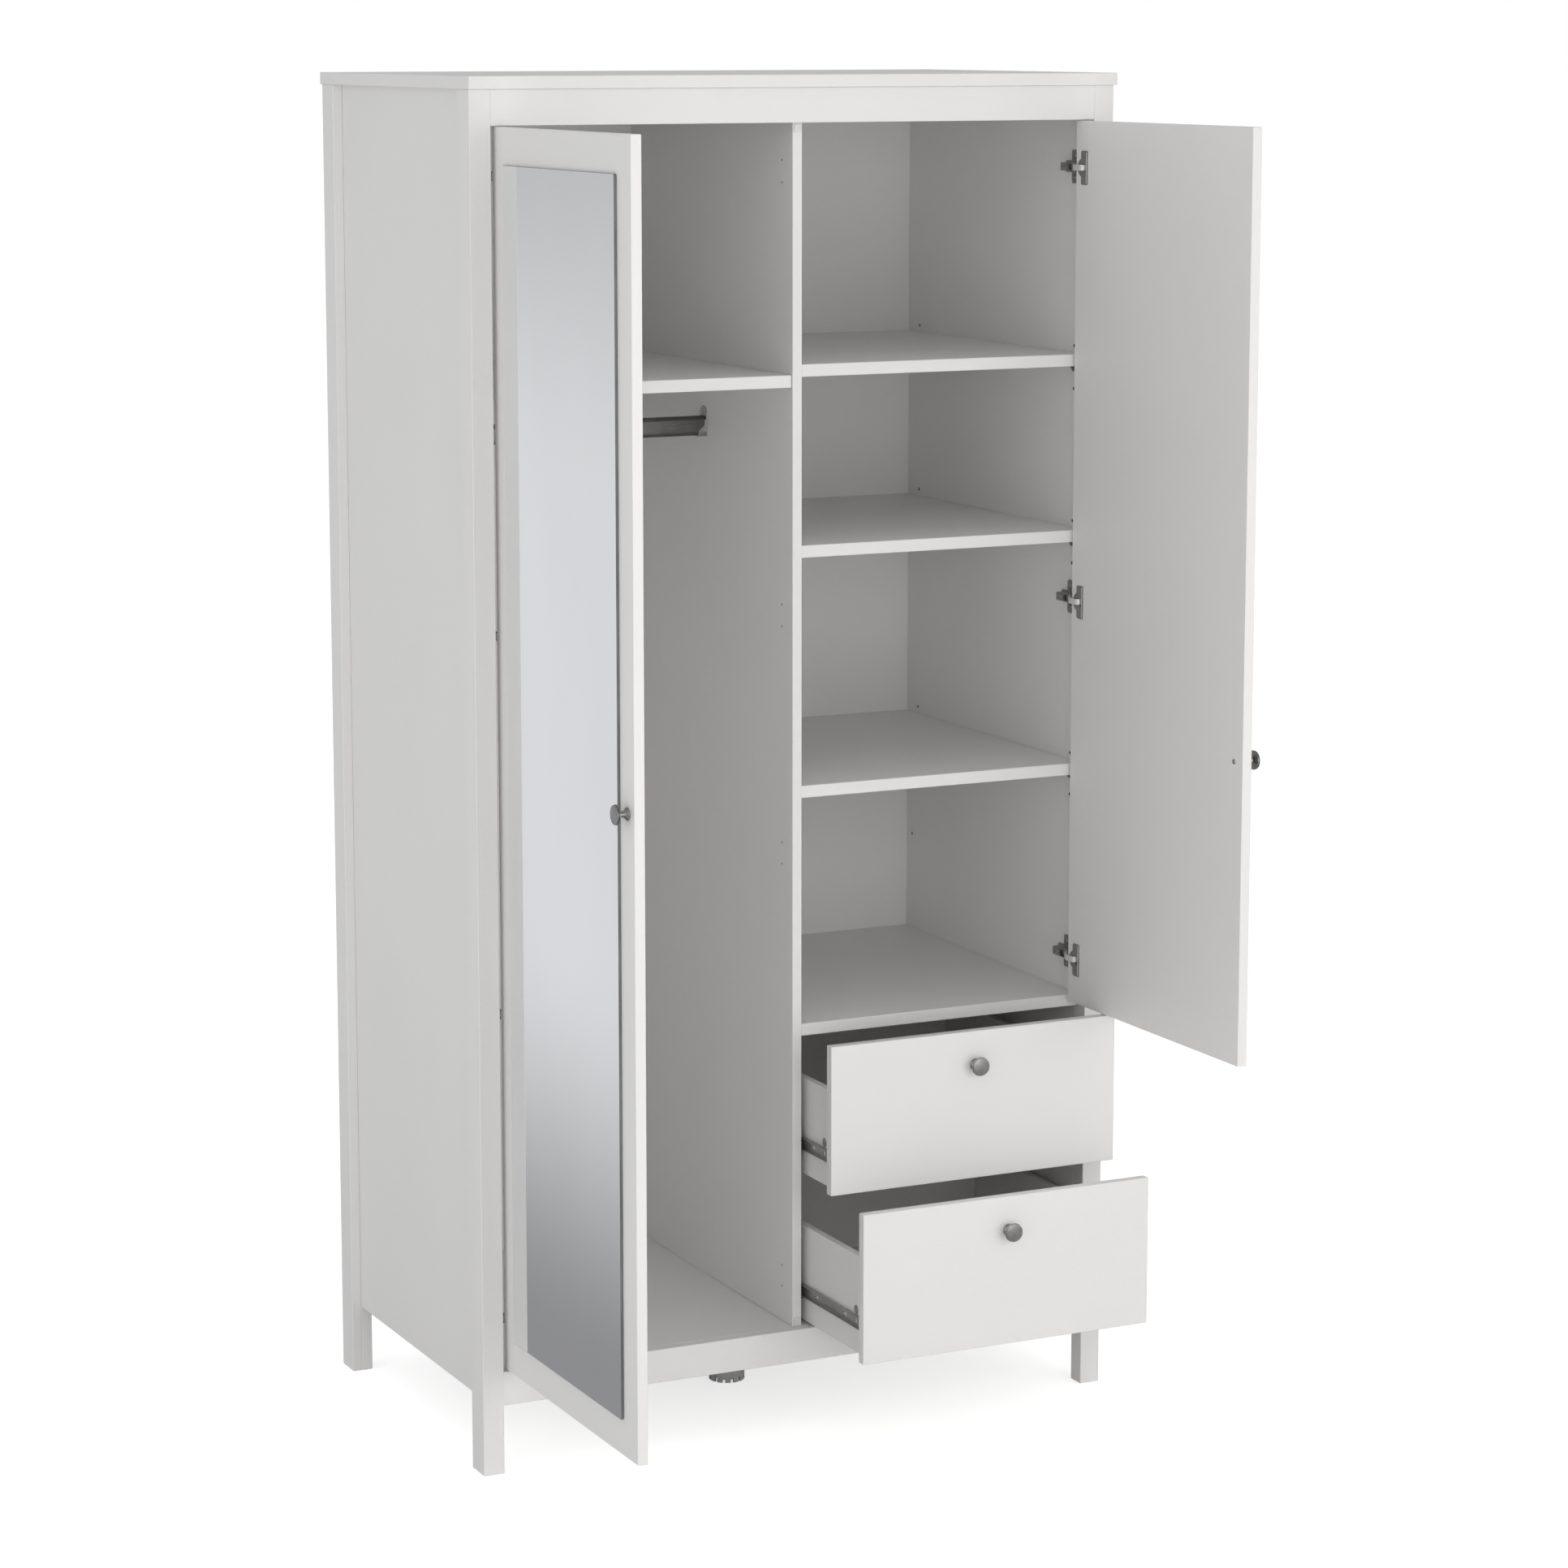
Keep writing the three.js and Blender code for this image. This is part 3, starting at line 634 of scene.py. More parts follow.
FACING_LEFT = Matrix.Rotation(math.radians(-90), 4, "Y")
FACING_RIGHT = Matrix.Rotation(math.radians(90), 4, "Y")
FACING_FRONT = Matrix.Rotation(math.radians(90), 4, "X")
FACING_BACK = Matrix.Rotation(math.radians(-90), 4, "X")

# ---- boards

WHITE_NODES = [
    "top_panel", "left_front_post", "right_front_post", "left_back_leg", "right_back_leg", "top_rail",
    "bottom_rail", "bottom_panel", "hat_shelf", "upper_shelf", "middle_shelf", "lower_shelf", "fixed_shelf",
    "left_side_panel", "left_door", "right_door",
]
DRAWERS = ["upper_drawer", "lower_drawer"]
for drawer in DRAWERS:
    WHITE_NODES += [f"{drawer}_{part}" for part in ("front", "left_side", "right_side", "back")]
THIN_NODES = ["back_panel"] + [f"{drawer}_bottom" for drawer in DRAWERS]
for names, made in ((WHITE_NODES, white_board), (THIN_NODES, thin_board)):
    for node in names:
        frame["nodes"][node].material_slots[0].material = made


def pin_rows(shelf):
    """The heights of the holes round one shelf's pins, in metres."""
    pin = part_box(shelf)[0].z - PIN_DROP * MM
    return [pin + step * HOLE_PITCH * MM for step in (-1, 0, 1)]


RIGHT_SHELVES = ["upper_shelf", "middle_shelf", "lower_shelf"]
RIGHT_HOLES = [(row, z) for shelf in RIGHT_SHELVES for z in pin_rows(shelf) for row in (FRONT_ROW, REAR_ROW)]
SPARE_HOLE = (569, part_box("fixed_shelf")[1].z + 155 * MM)
# The divider's left face is drilled for four hinge plates. Its third pair of holes is above the door's hinge.
PLATE_HEIGHTS = [HINGE_HEIGHTS[name] for name in ("upper", "middle", "bottom")] + [THIRD_PLATE_HOLES * MM]
PLATE_HOLES = [(FRONT_ROW, z + step * PLATE_SCREW * MM) for z in PLATE_HEIGHTS for step in (-1, 1)]


def drilled(node, faces):
    """A CAD board with blind holes. Each face is its x, the way into the board, the radius and the holes."""
    bm = bmesh.new()
    bm.from_mesh(frame["nodes"][node].data)
    bmesh.ops.remove_doubles(bm, verts=bm.verts, dist=1e-6)
    tinted(moved(bm, Matrix.Scale(1 / MM, 4)), 0)
    drills = []
    for x, inward, radius, holes in faces:
        ends = sorted((x / MM - inward * 2, x / MM + inward * HOLE_DEPTH))
        for row, z in holes:
            drill = prism(circle(radius), *ends)
            drills.append(moved(drill, Matrix.Translation((0, FRONT / MM + row, z / MM)) @ LAID_ALONG_X))
    bm = cut(bm, tinted(together(*drills), 1))
    piece(f"{node}_board", shrunk(bm), "cabinet", [white_board, raw_core],
          replaces=[node], smooth=20)


drilled("divider", [
    (DIVIDER_LEFT, 1, PLATE_HOLE_RADIUS, PLATE_HOLES), (DIVIDER_RIGHT, -1, HOLE_RADIUS, RIGHT_HOLES),
])
drilled("right_side_panel", [(RIGHT_FACE, 1, HOLE_RADIUS, RIGHT_HOLES + [SPARE_HOLE])])

# ---- mirror


def make_mirror():
    low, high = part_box("mirror")
    width, height = (high.y - low.y) / MM, (high.z - low.z) / MM
    bm = softened(prism(rounded(width, height, MIRROR_CORNER), low.x / MM, high.x / MM), MIRROR_EDGE)
    # The outer face reflects, and the edges and the back show plain glass.
    for face in bm.faces:
        face.material_index = 0 if face.normal.z < -0.999 else 1
    centre = middle("mirror")
    moved(bm, Matrix.Scale(MM, 4) @ Matrix.Translation((0, centre.y / MM, centre.z / MM)) @ LAID_ALONG_X)
    return piece("mirror_glass", bm, "left_door", [mirror_glass, glass_edge],
                 replaces=["mirror"])


mirror = make_mirror()

# ---- knobs


def make_knob(node, body, turn):
    """A turned knob whose own Z axis is the way it stands out from the front."""
    centred = Matrix.Translation((0, 0, -KNOB_LENGTH / 2))
    bm = moved(lathe(KNOB_PROFILE, steps=64), Matrix.Scale(MM, 4) @ centred)
    place = Matrix.Translation(middle(node)) @ turn @ FACING_FRONT
    piece(f"{node}_turned", bm, body, knob_metal, matrix=place, replaces=[node], smooth=28)


for drawer in DRAWERS:
    make_knob(f"{drawer}_knob", drawer, Matrix())
for side in SIDES:
    make_knob(f"{side}_door_knob", f"{side}_door", Matrix.Rotation(math.radians(door_turn(side)), 4, "Z"))


def make_knob_screw(side):
    """The head of the knob's screw on the door's inner face."""
    knob = door_matrix(side).inverted() @ middle(f"{side}_door_knob")
    bm = screw_at(knob.x / MM, FRONT / MM + DOOR_FACE, knob.z / MM, FACING_BACK, scale=1.1, spin=20)
    piece(f"{side}_door_knob_screw", shrunk(bm), f"{side}_door", screw_metal, matrix=door_matrix(side))


for side in SIDES:
    make_knob_screw(side)

# ---- hinges


def hinge_cup():
    """A round cup with a lip, its inside painted near-black as shade, and a plate over it with a ridge along
    its far edge.
    """
    inner = CUP_INNER_RADIUS
    cup = lathe([
        (0, -CUP_DEPTH), (CUP_RADIUS - 1, -CUP_DEPTH), (CUP_RADIUS, 1 - CUP_DEPTH), (CUP_RADIUS, 0.05),
        (CUP_LIP_RADIUS - 0.3, 0.05), (CUP_LIP_RADIUS, 0.3), (CUP_LIP_RADIUS - 0.35, CUP_LIP),
        (inner + 0.3, CUP_LIP), (inner, CUP_LIP - 0.4), (inner, 2 - CUP_DEPTH), (inner - 1, 1 - CUP_DEPTH),
        (0, 1 - CUP_DEPTH),
    ])
    tinted(cup, 0)
    # The faces inside the cup take the near-black third material: painted shade in the cup's recess.
    for face in cup.faces:
        centre = face.calc_center_median()
        if math.hypot(centre.x, centre.y) < inner + 0.2 and centre.z > -CUP_DEPTH + 0.5:
            face.material_index = 2
    cup = moved(cup, Matrix.Translation((CUP_X, DOOR_FACE, 0)) @ LAID_ALONG_Y)
    half = COVER_SLOT_HEIGHT / 2
    slot = rectangle(COVER_SLOT_X[0] - WING_X, COVER_SLOT_X[1] - WING_X, -half, half)
    plate = prism(rounded(WING_WIDTH, WING_HEIGHT, WING_CORNER), 0.1, 0.1 + WING_THICKNESS)
    cover = prism(circle(COVER_RADIUS, x=CUP_X - WING_X, steps=48), 0.2, CUP_LIP)
    plate = softened(cut(plate, prism(slot, -1, 3)), 0.35)
    cover = cut(cover, prism(slot, -1, 3))
    # The plate's far edge is folded down to the door in a slope, which takes the brighter link metal as a
    # painted highlight.
    edge, top = -WING_WIDTH / 2, WING_THICKNESS + WING_FOLD
    slope = [(edge - 0.5, 0.05), (edge + WING_RIDGE, WING_THICKNESS), (edge + WING_RIDGE, top),
             (edge + WING_RIDGE - 0.6, top), (edge - 0.7, 0.4)]
    ridge_half = WING_HEIGHT / 2 - WING_CORNER * 0.6
    ridge = moved(prism(slope, -ridge_half, ridge_half), LAID_ALONG_Y)
    whole = together(tinted(together(plate, cover), 0), tinted(ridge, 1))
    plate = moved(whole, Matrix.Translation((WING_X, DOOR_FACE, 0)) @ LAID_ALONG_Y)
    return together(cup, plate)


def hinge_link():
    """A curved bright strip with a rolled eye at each end."""
    route = smooth_route(LINK_ROUTE)
    strap = softened(prism(strip(route, LINK_THICKNESS), -LINK_HEIGHT / 2, LINK_HEIGHT / 2), 0.3)
    eyes = []
    for x, y in (LINK_ROUTE[0], LINK_ROUTE[-1]):
        eye = prism(circle(LINK_EYE, x=x, y=y, steps=24), -LINK_HEIGHT / 2, LINK_HEIGHT / 2)
        eyes.append(softened(eye, 0.3))
    return moved(together(strap, *eyes), Matrix.Translation((LINK_X, LINK_Y, 0)))


def hinge_arm():
    """A channel that opens towards the panel, screwed to an upright plate with round ends."""
    half = ARM_HEIGHT / 2
    outline = [
        (ARM_X[1], -half), (ARM_X[1], -half + ARM_WALL), (ARM_X[0] + ARM_WALL, -half + ARM_WALL),
        (ARM_X[0] + ARM_WALL, half - ARM_WALL), (ARM_X[1], half - ARM_WALL), (ARM_X[1], half),
        (ARM_X[0], half), (ARM_X[0], -half),
    ]
    body = moved(prism(outline, ARM_WEB_Y, ARM_Y[1]), LAID_ALONG_Y)
    cheeks = [
        block(ARM_X, (ARM_Y[0], ARM_WEB_Y + 1), (-half, ARM_WALL - half)),
        block(ARM_X, (ARM_Y[0], ARM_WEB_Y + 1), (half - ARM_WALL, half)),
    ]
    for cheek in cheeks:
        nose = []
        for edge in cheek.edges:
            first, last = (vert.co for vert in edge.verts)
            at_end = max(abs(first.y - ARM_Y[0]), abs(last.y - ARM_Y[0])) < 1e-3
            if at_end and abs(first.x - last.x) < 1e-3:
                nose.append(edge)
        bmesh.ops.bevel(cheek, geom=nose, offset=ARM_NOSE, segments=5, profile=0.5, affect="EDGES")
    slot = moved(prism(rounded(3, 9, 1.4), ARM_X[0] - 1, ARM_X[0] + ARM_WALL + 1),
                 Matrix.Translation((0, BOSS_Y[0] - 2, 0)) @ LAID_ALONG_X)
    body = softened(cut(body, slot), 0.3)
    boss = block((ARM_X[1] - BOSS_DEPTH, PLATE_X[0] + 0.5), BOSS_Y, (-half - 0.5, half + 0.5))
    foot = block((PLATE_X[0] - 2, PLATE_X[1]), FOOT_Y, (-half - FOOT_SPREAD, half + FOOT_SPREAD))
    plate = prism(rounded(PLATE_WIDTH, PLATE_HEIGHT, PLATE_CORNER), *PLATE_X)
    plate = moved(softened(plate, 0.5), Matrix.Translation((0, PLATE_Y, 0)) @ LAID_ALONG_X)
    screws = [
        screw_at(PLATE_X[0], PLATE_Y, sign * PLATE_SCREW, FACING_LEFT, scale=1.15, spin=15 + 30 * sign)
        for sign in (-1, 1)
    ]
    screws.append(screw_at(ARM_X[0], BOSS_Y[1] - 5, 0, FACING_LEFT, scale=1.1, spin=50))
    screws.append(screw_at(ARM_X[0], BOSS_Y[0] + 5, 0, FACING_LEFT, scale=0.9, spin=10))
    pin = moved(prism(circle(ARM_PIN, steps=16), -half - 0.3, half + 0.3),
                Matrix.Translation((*ARM_PIN_PLACE, 0)))
    dark = together(body, *cheeks, softened(boss, 0.6), softened(foot, 0.8), plate)
    return together(tinted(dark, 0), tinted(together(pin, *screws), 1))


CUP, LINK, ARM = hinge_cup(), hinge_link(), hinge_arm()
# The third material is the near-black painted shade inside the cups.
CUP_METALS = [hinge_metal, link_metal, cup_painted_shade]
for side, hinges in HINGES.items():
    for label, height_name, stands_for in hinges:
        place = hinge_matrix(side, HINGE_HEIGHTS[height_name])
        cad = f"{side}_{stands_for}_hinge" if stands_for else None
        name = f"{side}_{label}_hinge"
        for part, source, turn, body, materials, slot in (
            ("cup", CUP, door_matrix(side), f"{side}_door", CUP_METALS, "hinge_metal"),
            ("link", LINK, link_matrix(side), f"{side}_door_links", link_metal, "link_metal"),
            ("arm", ARM, Matrix(), "cabinet", [hinge_metal, screw_metal], "hinge_metal"),
        ):
            piece(f"{name}_{part}_fine", moved(source.copy(), turn @ place), body, materials,
                  replaces=[f"{cad}_{part}"] if cad else ())

# ---- slides


def slide_outline(height, lip):
    """The section of one slide member: a web on x = 0 with rounded bends and lips that curl inwards."""
    wall = SLIDE_WALL
    centre, bend = wall / 2, SLIDE_BEND
    half = height / 2 - wall / 2
    path = [(lip - 0.4, half - SLIDE_CURL), (lip - 0.9, half - SLIDE_CURL * 0.4), (lip - 1.9, half)]
    for step in range(5):
        angle = math.pi / 2 * (1 + step / 4)
        path.append((centre + bend + bend * math.cos(angle), half - bend + bend * math.sin(angle)))
    path += [(x, -y) for x, y in reversed(path)]
    return strip(path, wall)


def slide_member(height, lip, length):
    """A member along Y, from its front end at Y = 0."""
    bm = moved(prism(slide_outline(height, lip), 0, length), LAID_ALONG_Y)
    cutters = []
    for outline, distance in SLIDE_HOLES:
        hole = prism(outline, -2, SLIDE_WALL + 1)
        cutters.append(moved(hole, Matrix.Translation((0, distance, 0)) @ LAID_ALONG_X))
    return cut(bm, together(*cutters))


def teardrop(length, height):
    """A hole with one round end and one blunt point, along X."""
    half = height / 2
    points = [(half * math.cos(a), half * math.sin(a)) for a in [math.pi * (0.5 + s / 10) for s in range(11)]]
    return points + [(length - half, -half * 0.35), (length - half, half * 0.35)]


WIDE_HOLE = rounded(6, 8.6, 2.9)
LONG_HOLE = rounded(9, 4.6, 2.2)
DROP_HOLE = teardrop(9, 6.5)
SCREW_HOLE = circle(SLIDE_SCREW)
# The holes in a member's web, with their distances from its front end.
SLIDE_HOLES = [
    (WIDE_HOLE, 32), (DROP_HOLE, 66), (SCREW_HOLE, 96), (SCREW_HOLE, 106), (LONG_HOLE, 160),
    (WIDE_HOLE, 224), (SCREW_HOLE, 290), (LONG_HOLE, 352), (WIDE_HOLE, 416), (DROP_HOLE, 450),
]


def make_slide(drawer, side, member):
    node = f"{drawer.split('_')[0]}_{side}_{member}_slide"
    low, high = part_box(node)
    size = (high - low) / MM
    # The two members of a slide open towards each other.
    opens_right = (side == "left") == (member == "cabinet")
    web, way = (low.x, MM) if opens_right else (high.x, -MM)
    place = Matrix.Translation((web, low.y, (low.z + high.z) / 2)) @ Matrix.Diagonal((way, MM, MM, 1))
    bm = moved(slide_member(size.z, size.x, size.y), place)
    body = "cabinet" if member == "cabinet" else drawer
    piece(f"{node}_fine", bm, body, slide_metal, replaces=[node])


for drawer in DRAWERS:
    for side in SIDES:
        for member in ("cabinet", "drawer"):
            make_slide(drawer, side, member)


def make_cam_locks():
    """The round locks in the drawer sides that pull the front on."""
    ring = lathe([
        (0, 0), (CAM_RADIUS, 0), (CAM_RADIUS, 0.5), (CAM_RADIUS - 0.4, 0.8), (CAM_RADIUS - 1.2, 0.8),
        (CAM_RADIUS - 1.4, 0.45), (CAM_RADIUS - 1.9, 0.45), (CAM_RADIUS - 2.1, 0.75), (0, 0.75),
    ])
    cross = prism(cross_outline(*CAM_CROSS), 0.15, 2)
    lock = cut(ring, moved(cross, Matrix.Rotation(math.radians(25), 4, "Z")))
    for drawer in DRAWERS:
        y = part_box(f"{drawer}_front")[1].y + CAM_BACK * MM
        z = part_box(f"{drawer}_left_side")[0].z + CAM_RAISE * MM
        for side, facing in (("left", FACING_LEFT), ("right", FACING_RIGHT)):
            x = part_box(f"{drawer}_{side}_side")[0 if side == "left" else 1].x
            place = Matrix.Translation((x, y, z)) @ facing @ Matrix.Scale(MM, 4)
            piece(f"{drawer}_{side}_cam_lock", moved(lock.copy(), place), drawer, slide_metal)


make_cam_locks()

# ---- shelf pins and bumpers


def shelf_pin():
    """A pin with a rounded plate against the panel and a ledge under the shelf. The bay lies towards +X."""
    plate = []
    for step in range(13):
        angle = math.pi * (1 + step / 12)
        plate.append((PIN_WIDTH / 2 * math.cos(angle), PIN_HEIGHT * 0.8 * math.sin(angle) - PIN_HEIGHT * 0.2))
    plate += [(PIN_WIDTH / 2, -0.2), (-PIN_WIDTH / 2, -0.2)]
    flange = softened(moved(prism(plate, 0.05, PIN_PLATE), LAID_ALONG_X), 0.4)
    ledge = softened(block((0.5, PIN_REACH), (-PIN_WIDTH * 0.36, PIN_WIDTH * 0.36), (-2.2, -0.2)), 0.4)
    rib_outline = [(1, -2), (PIN_REACH - 1.5, -2), (1, -PIN_HEIGHT * 0.85)]
    rib = moved(prism(rib_outline, -1.1, 1.1), LAID_ALONG_Y)
    stub = moved(prism(circle(HOLE_RADIUS - 0.15, y=-PIN_DROP), -HOLE_DEPTH + 0.5, 0.5), LAID_ALONG_X)
    return together(flange, ledge, rib, stub)


PIN = shelf_pin()


def make_pins(shelf, left_face, right_face):
    pins = []
    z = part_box(shelf)[0].z / MM
    for x, way in ((left_face / MM, 1), (right_face / MM, -1)):
        for row in (FRONT_ROW, REAR_ROW):
            place = Matrix.Translation((x, FRONT / MM + row, z)) @ Matrix.Diagonal((way, 1, 1, 1))
            pins.append(moved(PIN.copy(), place))
    piece(f"{shelf}_pins", shrunk(together(*pins)), "cabinet", pin_plastic)


for shelf in RIGHT_SHELVES:
    make_pins(shelf, DIVIDER_RIGHT, RIGHT_FACE)


def make_bumpers():
    """Soft pads on the divider's front edge that the doors and the lower drawer close against."""
    low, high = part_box("divider")
    width, depth, height = BUMPER
    pads = []
    for z in (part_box("top_rail")[0].z / MM - 8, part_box("bottom_rail")[1].z / MM + 8):
        pad = moved(prism(rounded(width, height, 2.5), 0, depth), LAID_ALONG_Y)
        pads.append(moved(softened(pad, 0.5), Matrix.Translation((0, low.y / MM - depth, z))))
    piece("divider_bumpers", shrunk(together(*pads)), "cabinet", pale_plastic)


make_bumpers()

# ---- hanging rail


def make_rail():
    low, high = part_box("hanging_rail")
    width, height = (high.y - low.y) / MM, (high.z - low.z) / MM
    outer = rounded(width, height, width / 2 - 0.01, steps=10)
    inner_width, inner_height = width - 2 * RAIL_WALL, height - 2 * RAIL_WALL
    inner = rounded(inner_width, inner_height, inner_width / 2 - 0.01, steps=10)
    bm = moved(tube(outer, inner, low.x / MM, high.x / MM), LAID_ALONG_X)
    centre = middle("hanging_rail")
    place = Matrix.Scale(MM, 4) @ Matrix.Translation((0, centre.y / MM, centre.z / MM))
    piece("hanging_rail_tube", moved(bm, place), "cabinet", rail_metal,
          replaces=["hanging_rail"])


def bracket_cradle(width, height):
    """A U of sheet under the tube's end, deep at the bottom and shallow at the top, with an S-shaped edge."""
    radius = width / 2
    top = height / 2 - radius + 2
    bottom = -height / 2 + radius
    path = [(radius, top - (top - bottom) * step / 8) for step in range(8)]
    path += [(radius * math.cos(a), bottom + radius * math.sin(a))
             for a in [-math.pi * step / 16 for step in range(17)]]
    path += [(-radius, bottom + (top - bottom) * step / 8) for step in range(1, 9)]
    bm = bmesh.new()
    rows = []
    for y, z in path:
        outward = Vector((y, min(z - bottom, 0))).normalized() * BRACKET_WALL
        rise = min(max((z + height / 2 - 6) / (height * 0.42), 0), 1)
        reach = BRACKET_REACH - (BRACKET_REACH - 3) * rise * rise * (3 - 2 * rise)
        rows.append([
            bm.verts.new((0.5, y, z)), bm.verts.new((reach, y, z)),
            bm.verts.new((reach, y + outward.x, z + outward.y)),
            bm.verts.new((0.5, y + outward.x, z + outward.y)),
        ])
    skin(bm, rows)
    bm.faces.new(rows[0])
    bm.faces.new(rows[-1][::-1])
    bmesh.ops.recalc_face_normals(bm, faces=bm.faces)
    return bm


def make_brackets():
    low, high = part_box("hanging_rail")
    width, height = (high.y - low.y) / MM + 0.5, (high.z - low.z) / MM + 0.5
    half = BRACKET_WIDTH / 2
    eye = half * BRACKET_EYE
    outline = [(eye * math.cos(a), BRACKET_ABOVE - eye + eye * math.sin(a))
               for a in [math.pi * step / 16 for step in range(17)]]
    outline += [(-eye, 4), (-half, 0), (-half, 3 - BRACKET_BELOW), (3 - half, -BRACKET_BELOW),
                (half - 3, -BRACKET_BELOW), (half, 3 - BRACKET_BELOW), (half, 0), (eye, 4)]
    plate = softened(moved(prism(outline, 0.05, BRACKET_PLATE), LAID_ALONG_X), 0.4)
    cradle = bracket_cradle(width, height)
    screw = screw_at(BRACKET_PLATE, 0, BRACKET_ABOVE - half, FACING_RIGHT, scale=1.1, spin=30)
    whole = together(tinted(together(plate, cradle), 0), tinted(screw, 1))
    centre = middle("hanging_rail")
    for side, x, way in (("left", LEFT_FACE, 1), ("right", DIVIDER_LEFT, -1)):
        place = Matrix.Translation((x, centre.y, centre.z)) @ Matrix.Diagonal((way * MM, MM, MM, 1))
        piece(f"{side}_rail_bracket", moved(whole.copy(), place), "cabinet", [bracket_metal, screw_metal])


make_rail()
make_brackets()

# ---- levelling foot


def threaded_rod(radius, low, high, steps=24, per_turn=4):
    """A rod along Z whose surface rises and falls in a screw thread."""
    bm = bmesh.new()
    rows = []
    count = int((high - low) / THREAD_PITCH * per_turn)
    for index in range(count + 1):
        z = low + (high - low) * index / count
        row = []
        for step in range(steps):
            phase = (z / THREAD_PITCH - step / steps) % 1
            crest = radius - THREAD_DEPTH * abs(2 * phase - 1)
            angle = 2 * math.pi * step / steps
            row.append(bm.verts.new((crest * math.cos(angle), crest * math.sin(angle), z)))
        rows.append(row)
    skin(bm, rows)
    bm.faces.new(rows[0][::-1])
    bm.faces.new(rows[-1])
    return bm


def make_foot():
    low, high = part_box("centre_foot")
    radius = (high.x - low.x) / 2 / MM
    inner = radius - FOOT_WALL
    crown = lathe([
        (0, 0), (FOOT_HUB - 0.5, 0), (FOOT_HUB, 0.5), (FOOT_HUB, 13), (inner, 13), (inner, 0.4),
        (inner + 0.4, 0), (radius - 0.4, 0), (radius, 0.4), (radius, 15), (radius - 1, 16.8),
        (radius - 3, 17.8), (FOOT_HUB, 18.6), (FOOT_HUB - 3, 19.2), (0, 19.2),
    ], steps=FOOT_TEETH * 6)
    gaps = []
    for tooth in range(FOOT_TEETH):
        gap = block((16, radius + 5), (-FOOT_GAP / 2, FOOT_GAP / 2), (-2, FOOT_GAP_HEIGHT))
        gaps.append(moved(gap, Matrix.Rotation(2 * math.pi * (tooth + 0.5) / FOOT_TEETH, 4, "Z")))
    crown = cut(crown, together(*gaps))
    rod = threaded_rod(ROD_RADIUS, 18.5, high.z / MM)
    centre = middle("centre_foot")
    place = Matrix.Translation((centre.x, centre.y, low.z)) @ Matrix.Scale(MM, 4)
    piece("centre_foot_crown", moved(together(crown, rod), place), "foot", foot_plastic,
          replaces=["centre_foot"])


def make_socket():
    """The flanged sleeve that the foot's rod turns in."""
    low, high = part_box("foot_socket")
    flange, length = (high.x - low.x) / 2 / MM, (high.z - low.z) / MM
    socket = lathe([
        (SOCKET_BORE, 0), (SOCKET_RADIUS - 0.6, 0), (SOCKET_RADIUS, 0.6), (SOCKET_RADIUS, length - 7),
        (SOCKET_RADIUS + 2, length - 5), (flange - 0.6, length - 5), (flange, length - 4.4),
        (flange, length), (SOCKET_BORE, length),
    ], closed=True)
    centre = middle("foot_socket")
    place = Matrix.Translation((centre.x, centre.y, low.z)) @ Matrix.Scale(MM, 4)
    piece("foot_socket_sleeve", moved(socket, place), "cabinet", foot_plastic,
          replaces=["foot_socket"])


make_foot()
make_socket()

# ---- nails


def make_nails():
    """The nails that hold the back panel on, round its edges and down the divider."""
    low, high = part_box("back_panel")
    nails = []
    width, height = (high.x - low.x) / MM, (high.z - low.z) / MM
    rows, columns = int(height // NAIL_SPACING), int(width // NAIL_SPACING)
    for x in (low.x / MM + NAIL_INSET, 0, high.x / MM - NAIL_INSET):
        for row in range(rows + 1):
            nails.append((x, low.z / MM + NAIL_INSET + (height - 2 * NAIL_INSET) * row / rows))
    for z in (low.z / MM + NAIL_INSET, high.z / MM - NAIL_INSET):
        for column in range(1, columns):
            x = low.x / MM + NAIL_INSET + (width - 2 * NAIL_INSET) * column / columns
            if abs(x) > DIVIDER_REACH:
                nails.append((x, z))
    head = lathe([(0, -0.2), (1.9, -0.2), (2, 0.15), (1.6, 0.45), (0.8, 0.6), (0, 0.62)], steps=16)
    heads = [moved(head.copy(), Matrix.Translation((x, high.y / MM, z)) @ FACING_BACK) for x, z in nails]
    piece("back_panel_nails", shrunk(together(*heads)), "cabinet", screw_metal)


make_nails()

# ---- studio

CAMERA_PLACE = (-2.7053, -5.7951, 2.0645)
CAMERA_YAW = -25.82
CAMERA_PITCH = 8.98
CAMERA_LENS = 98.39
CAMERA_SHIFT = -0.05

FLOOR_LIFT = 0.6
FLOOR_REACH = 90
AMBIENT = 0.52
# The floor card's brightness by its distance from the mirror's plane, in metres: dim beside the wardrobe,
# bright a little way off, and dimmer far away.
MIRROR_CARD = [(0.3, 0.3), (1.5, 0.77), (5, 0.77), (60, 0.55)]
CARD_SPREAD = 2

NEUTRAL, WARM = (1, 1, 1), (1, 0.98, 0.955)
LIGHT_TARGET = Vector((0, -0.2, 1))
# Each light's direction from its target, round from the front and up, its distance, size, power and colour.
LIGHTS = {
    "left": (-60, 12, 6, (7, 5), 67, NEUTRAL),
    "far_left": (-90, 15, 6, (7, 5), 11, NEUTRAL),
    "front": (-4, -2, 4.2, (4.6, 3.4), 74, WARM),
    "right": (30, 10, 6, (7, 5), 57, WARM),
    "top": (0, 88, 6, (7, 5), 28, WARM),
}


def add_stage(name, corners, made):
    mesh = bpy.data.meshes.new(name)
    mesh.from_pydata(corners, [], [list(range(len(corners)))])
    mesh.materials.append(made)
    obj = bpy.data.objects.new(name, mesh)
    bpy.context.scene.collection.objects.link(obj)
    return obj


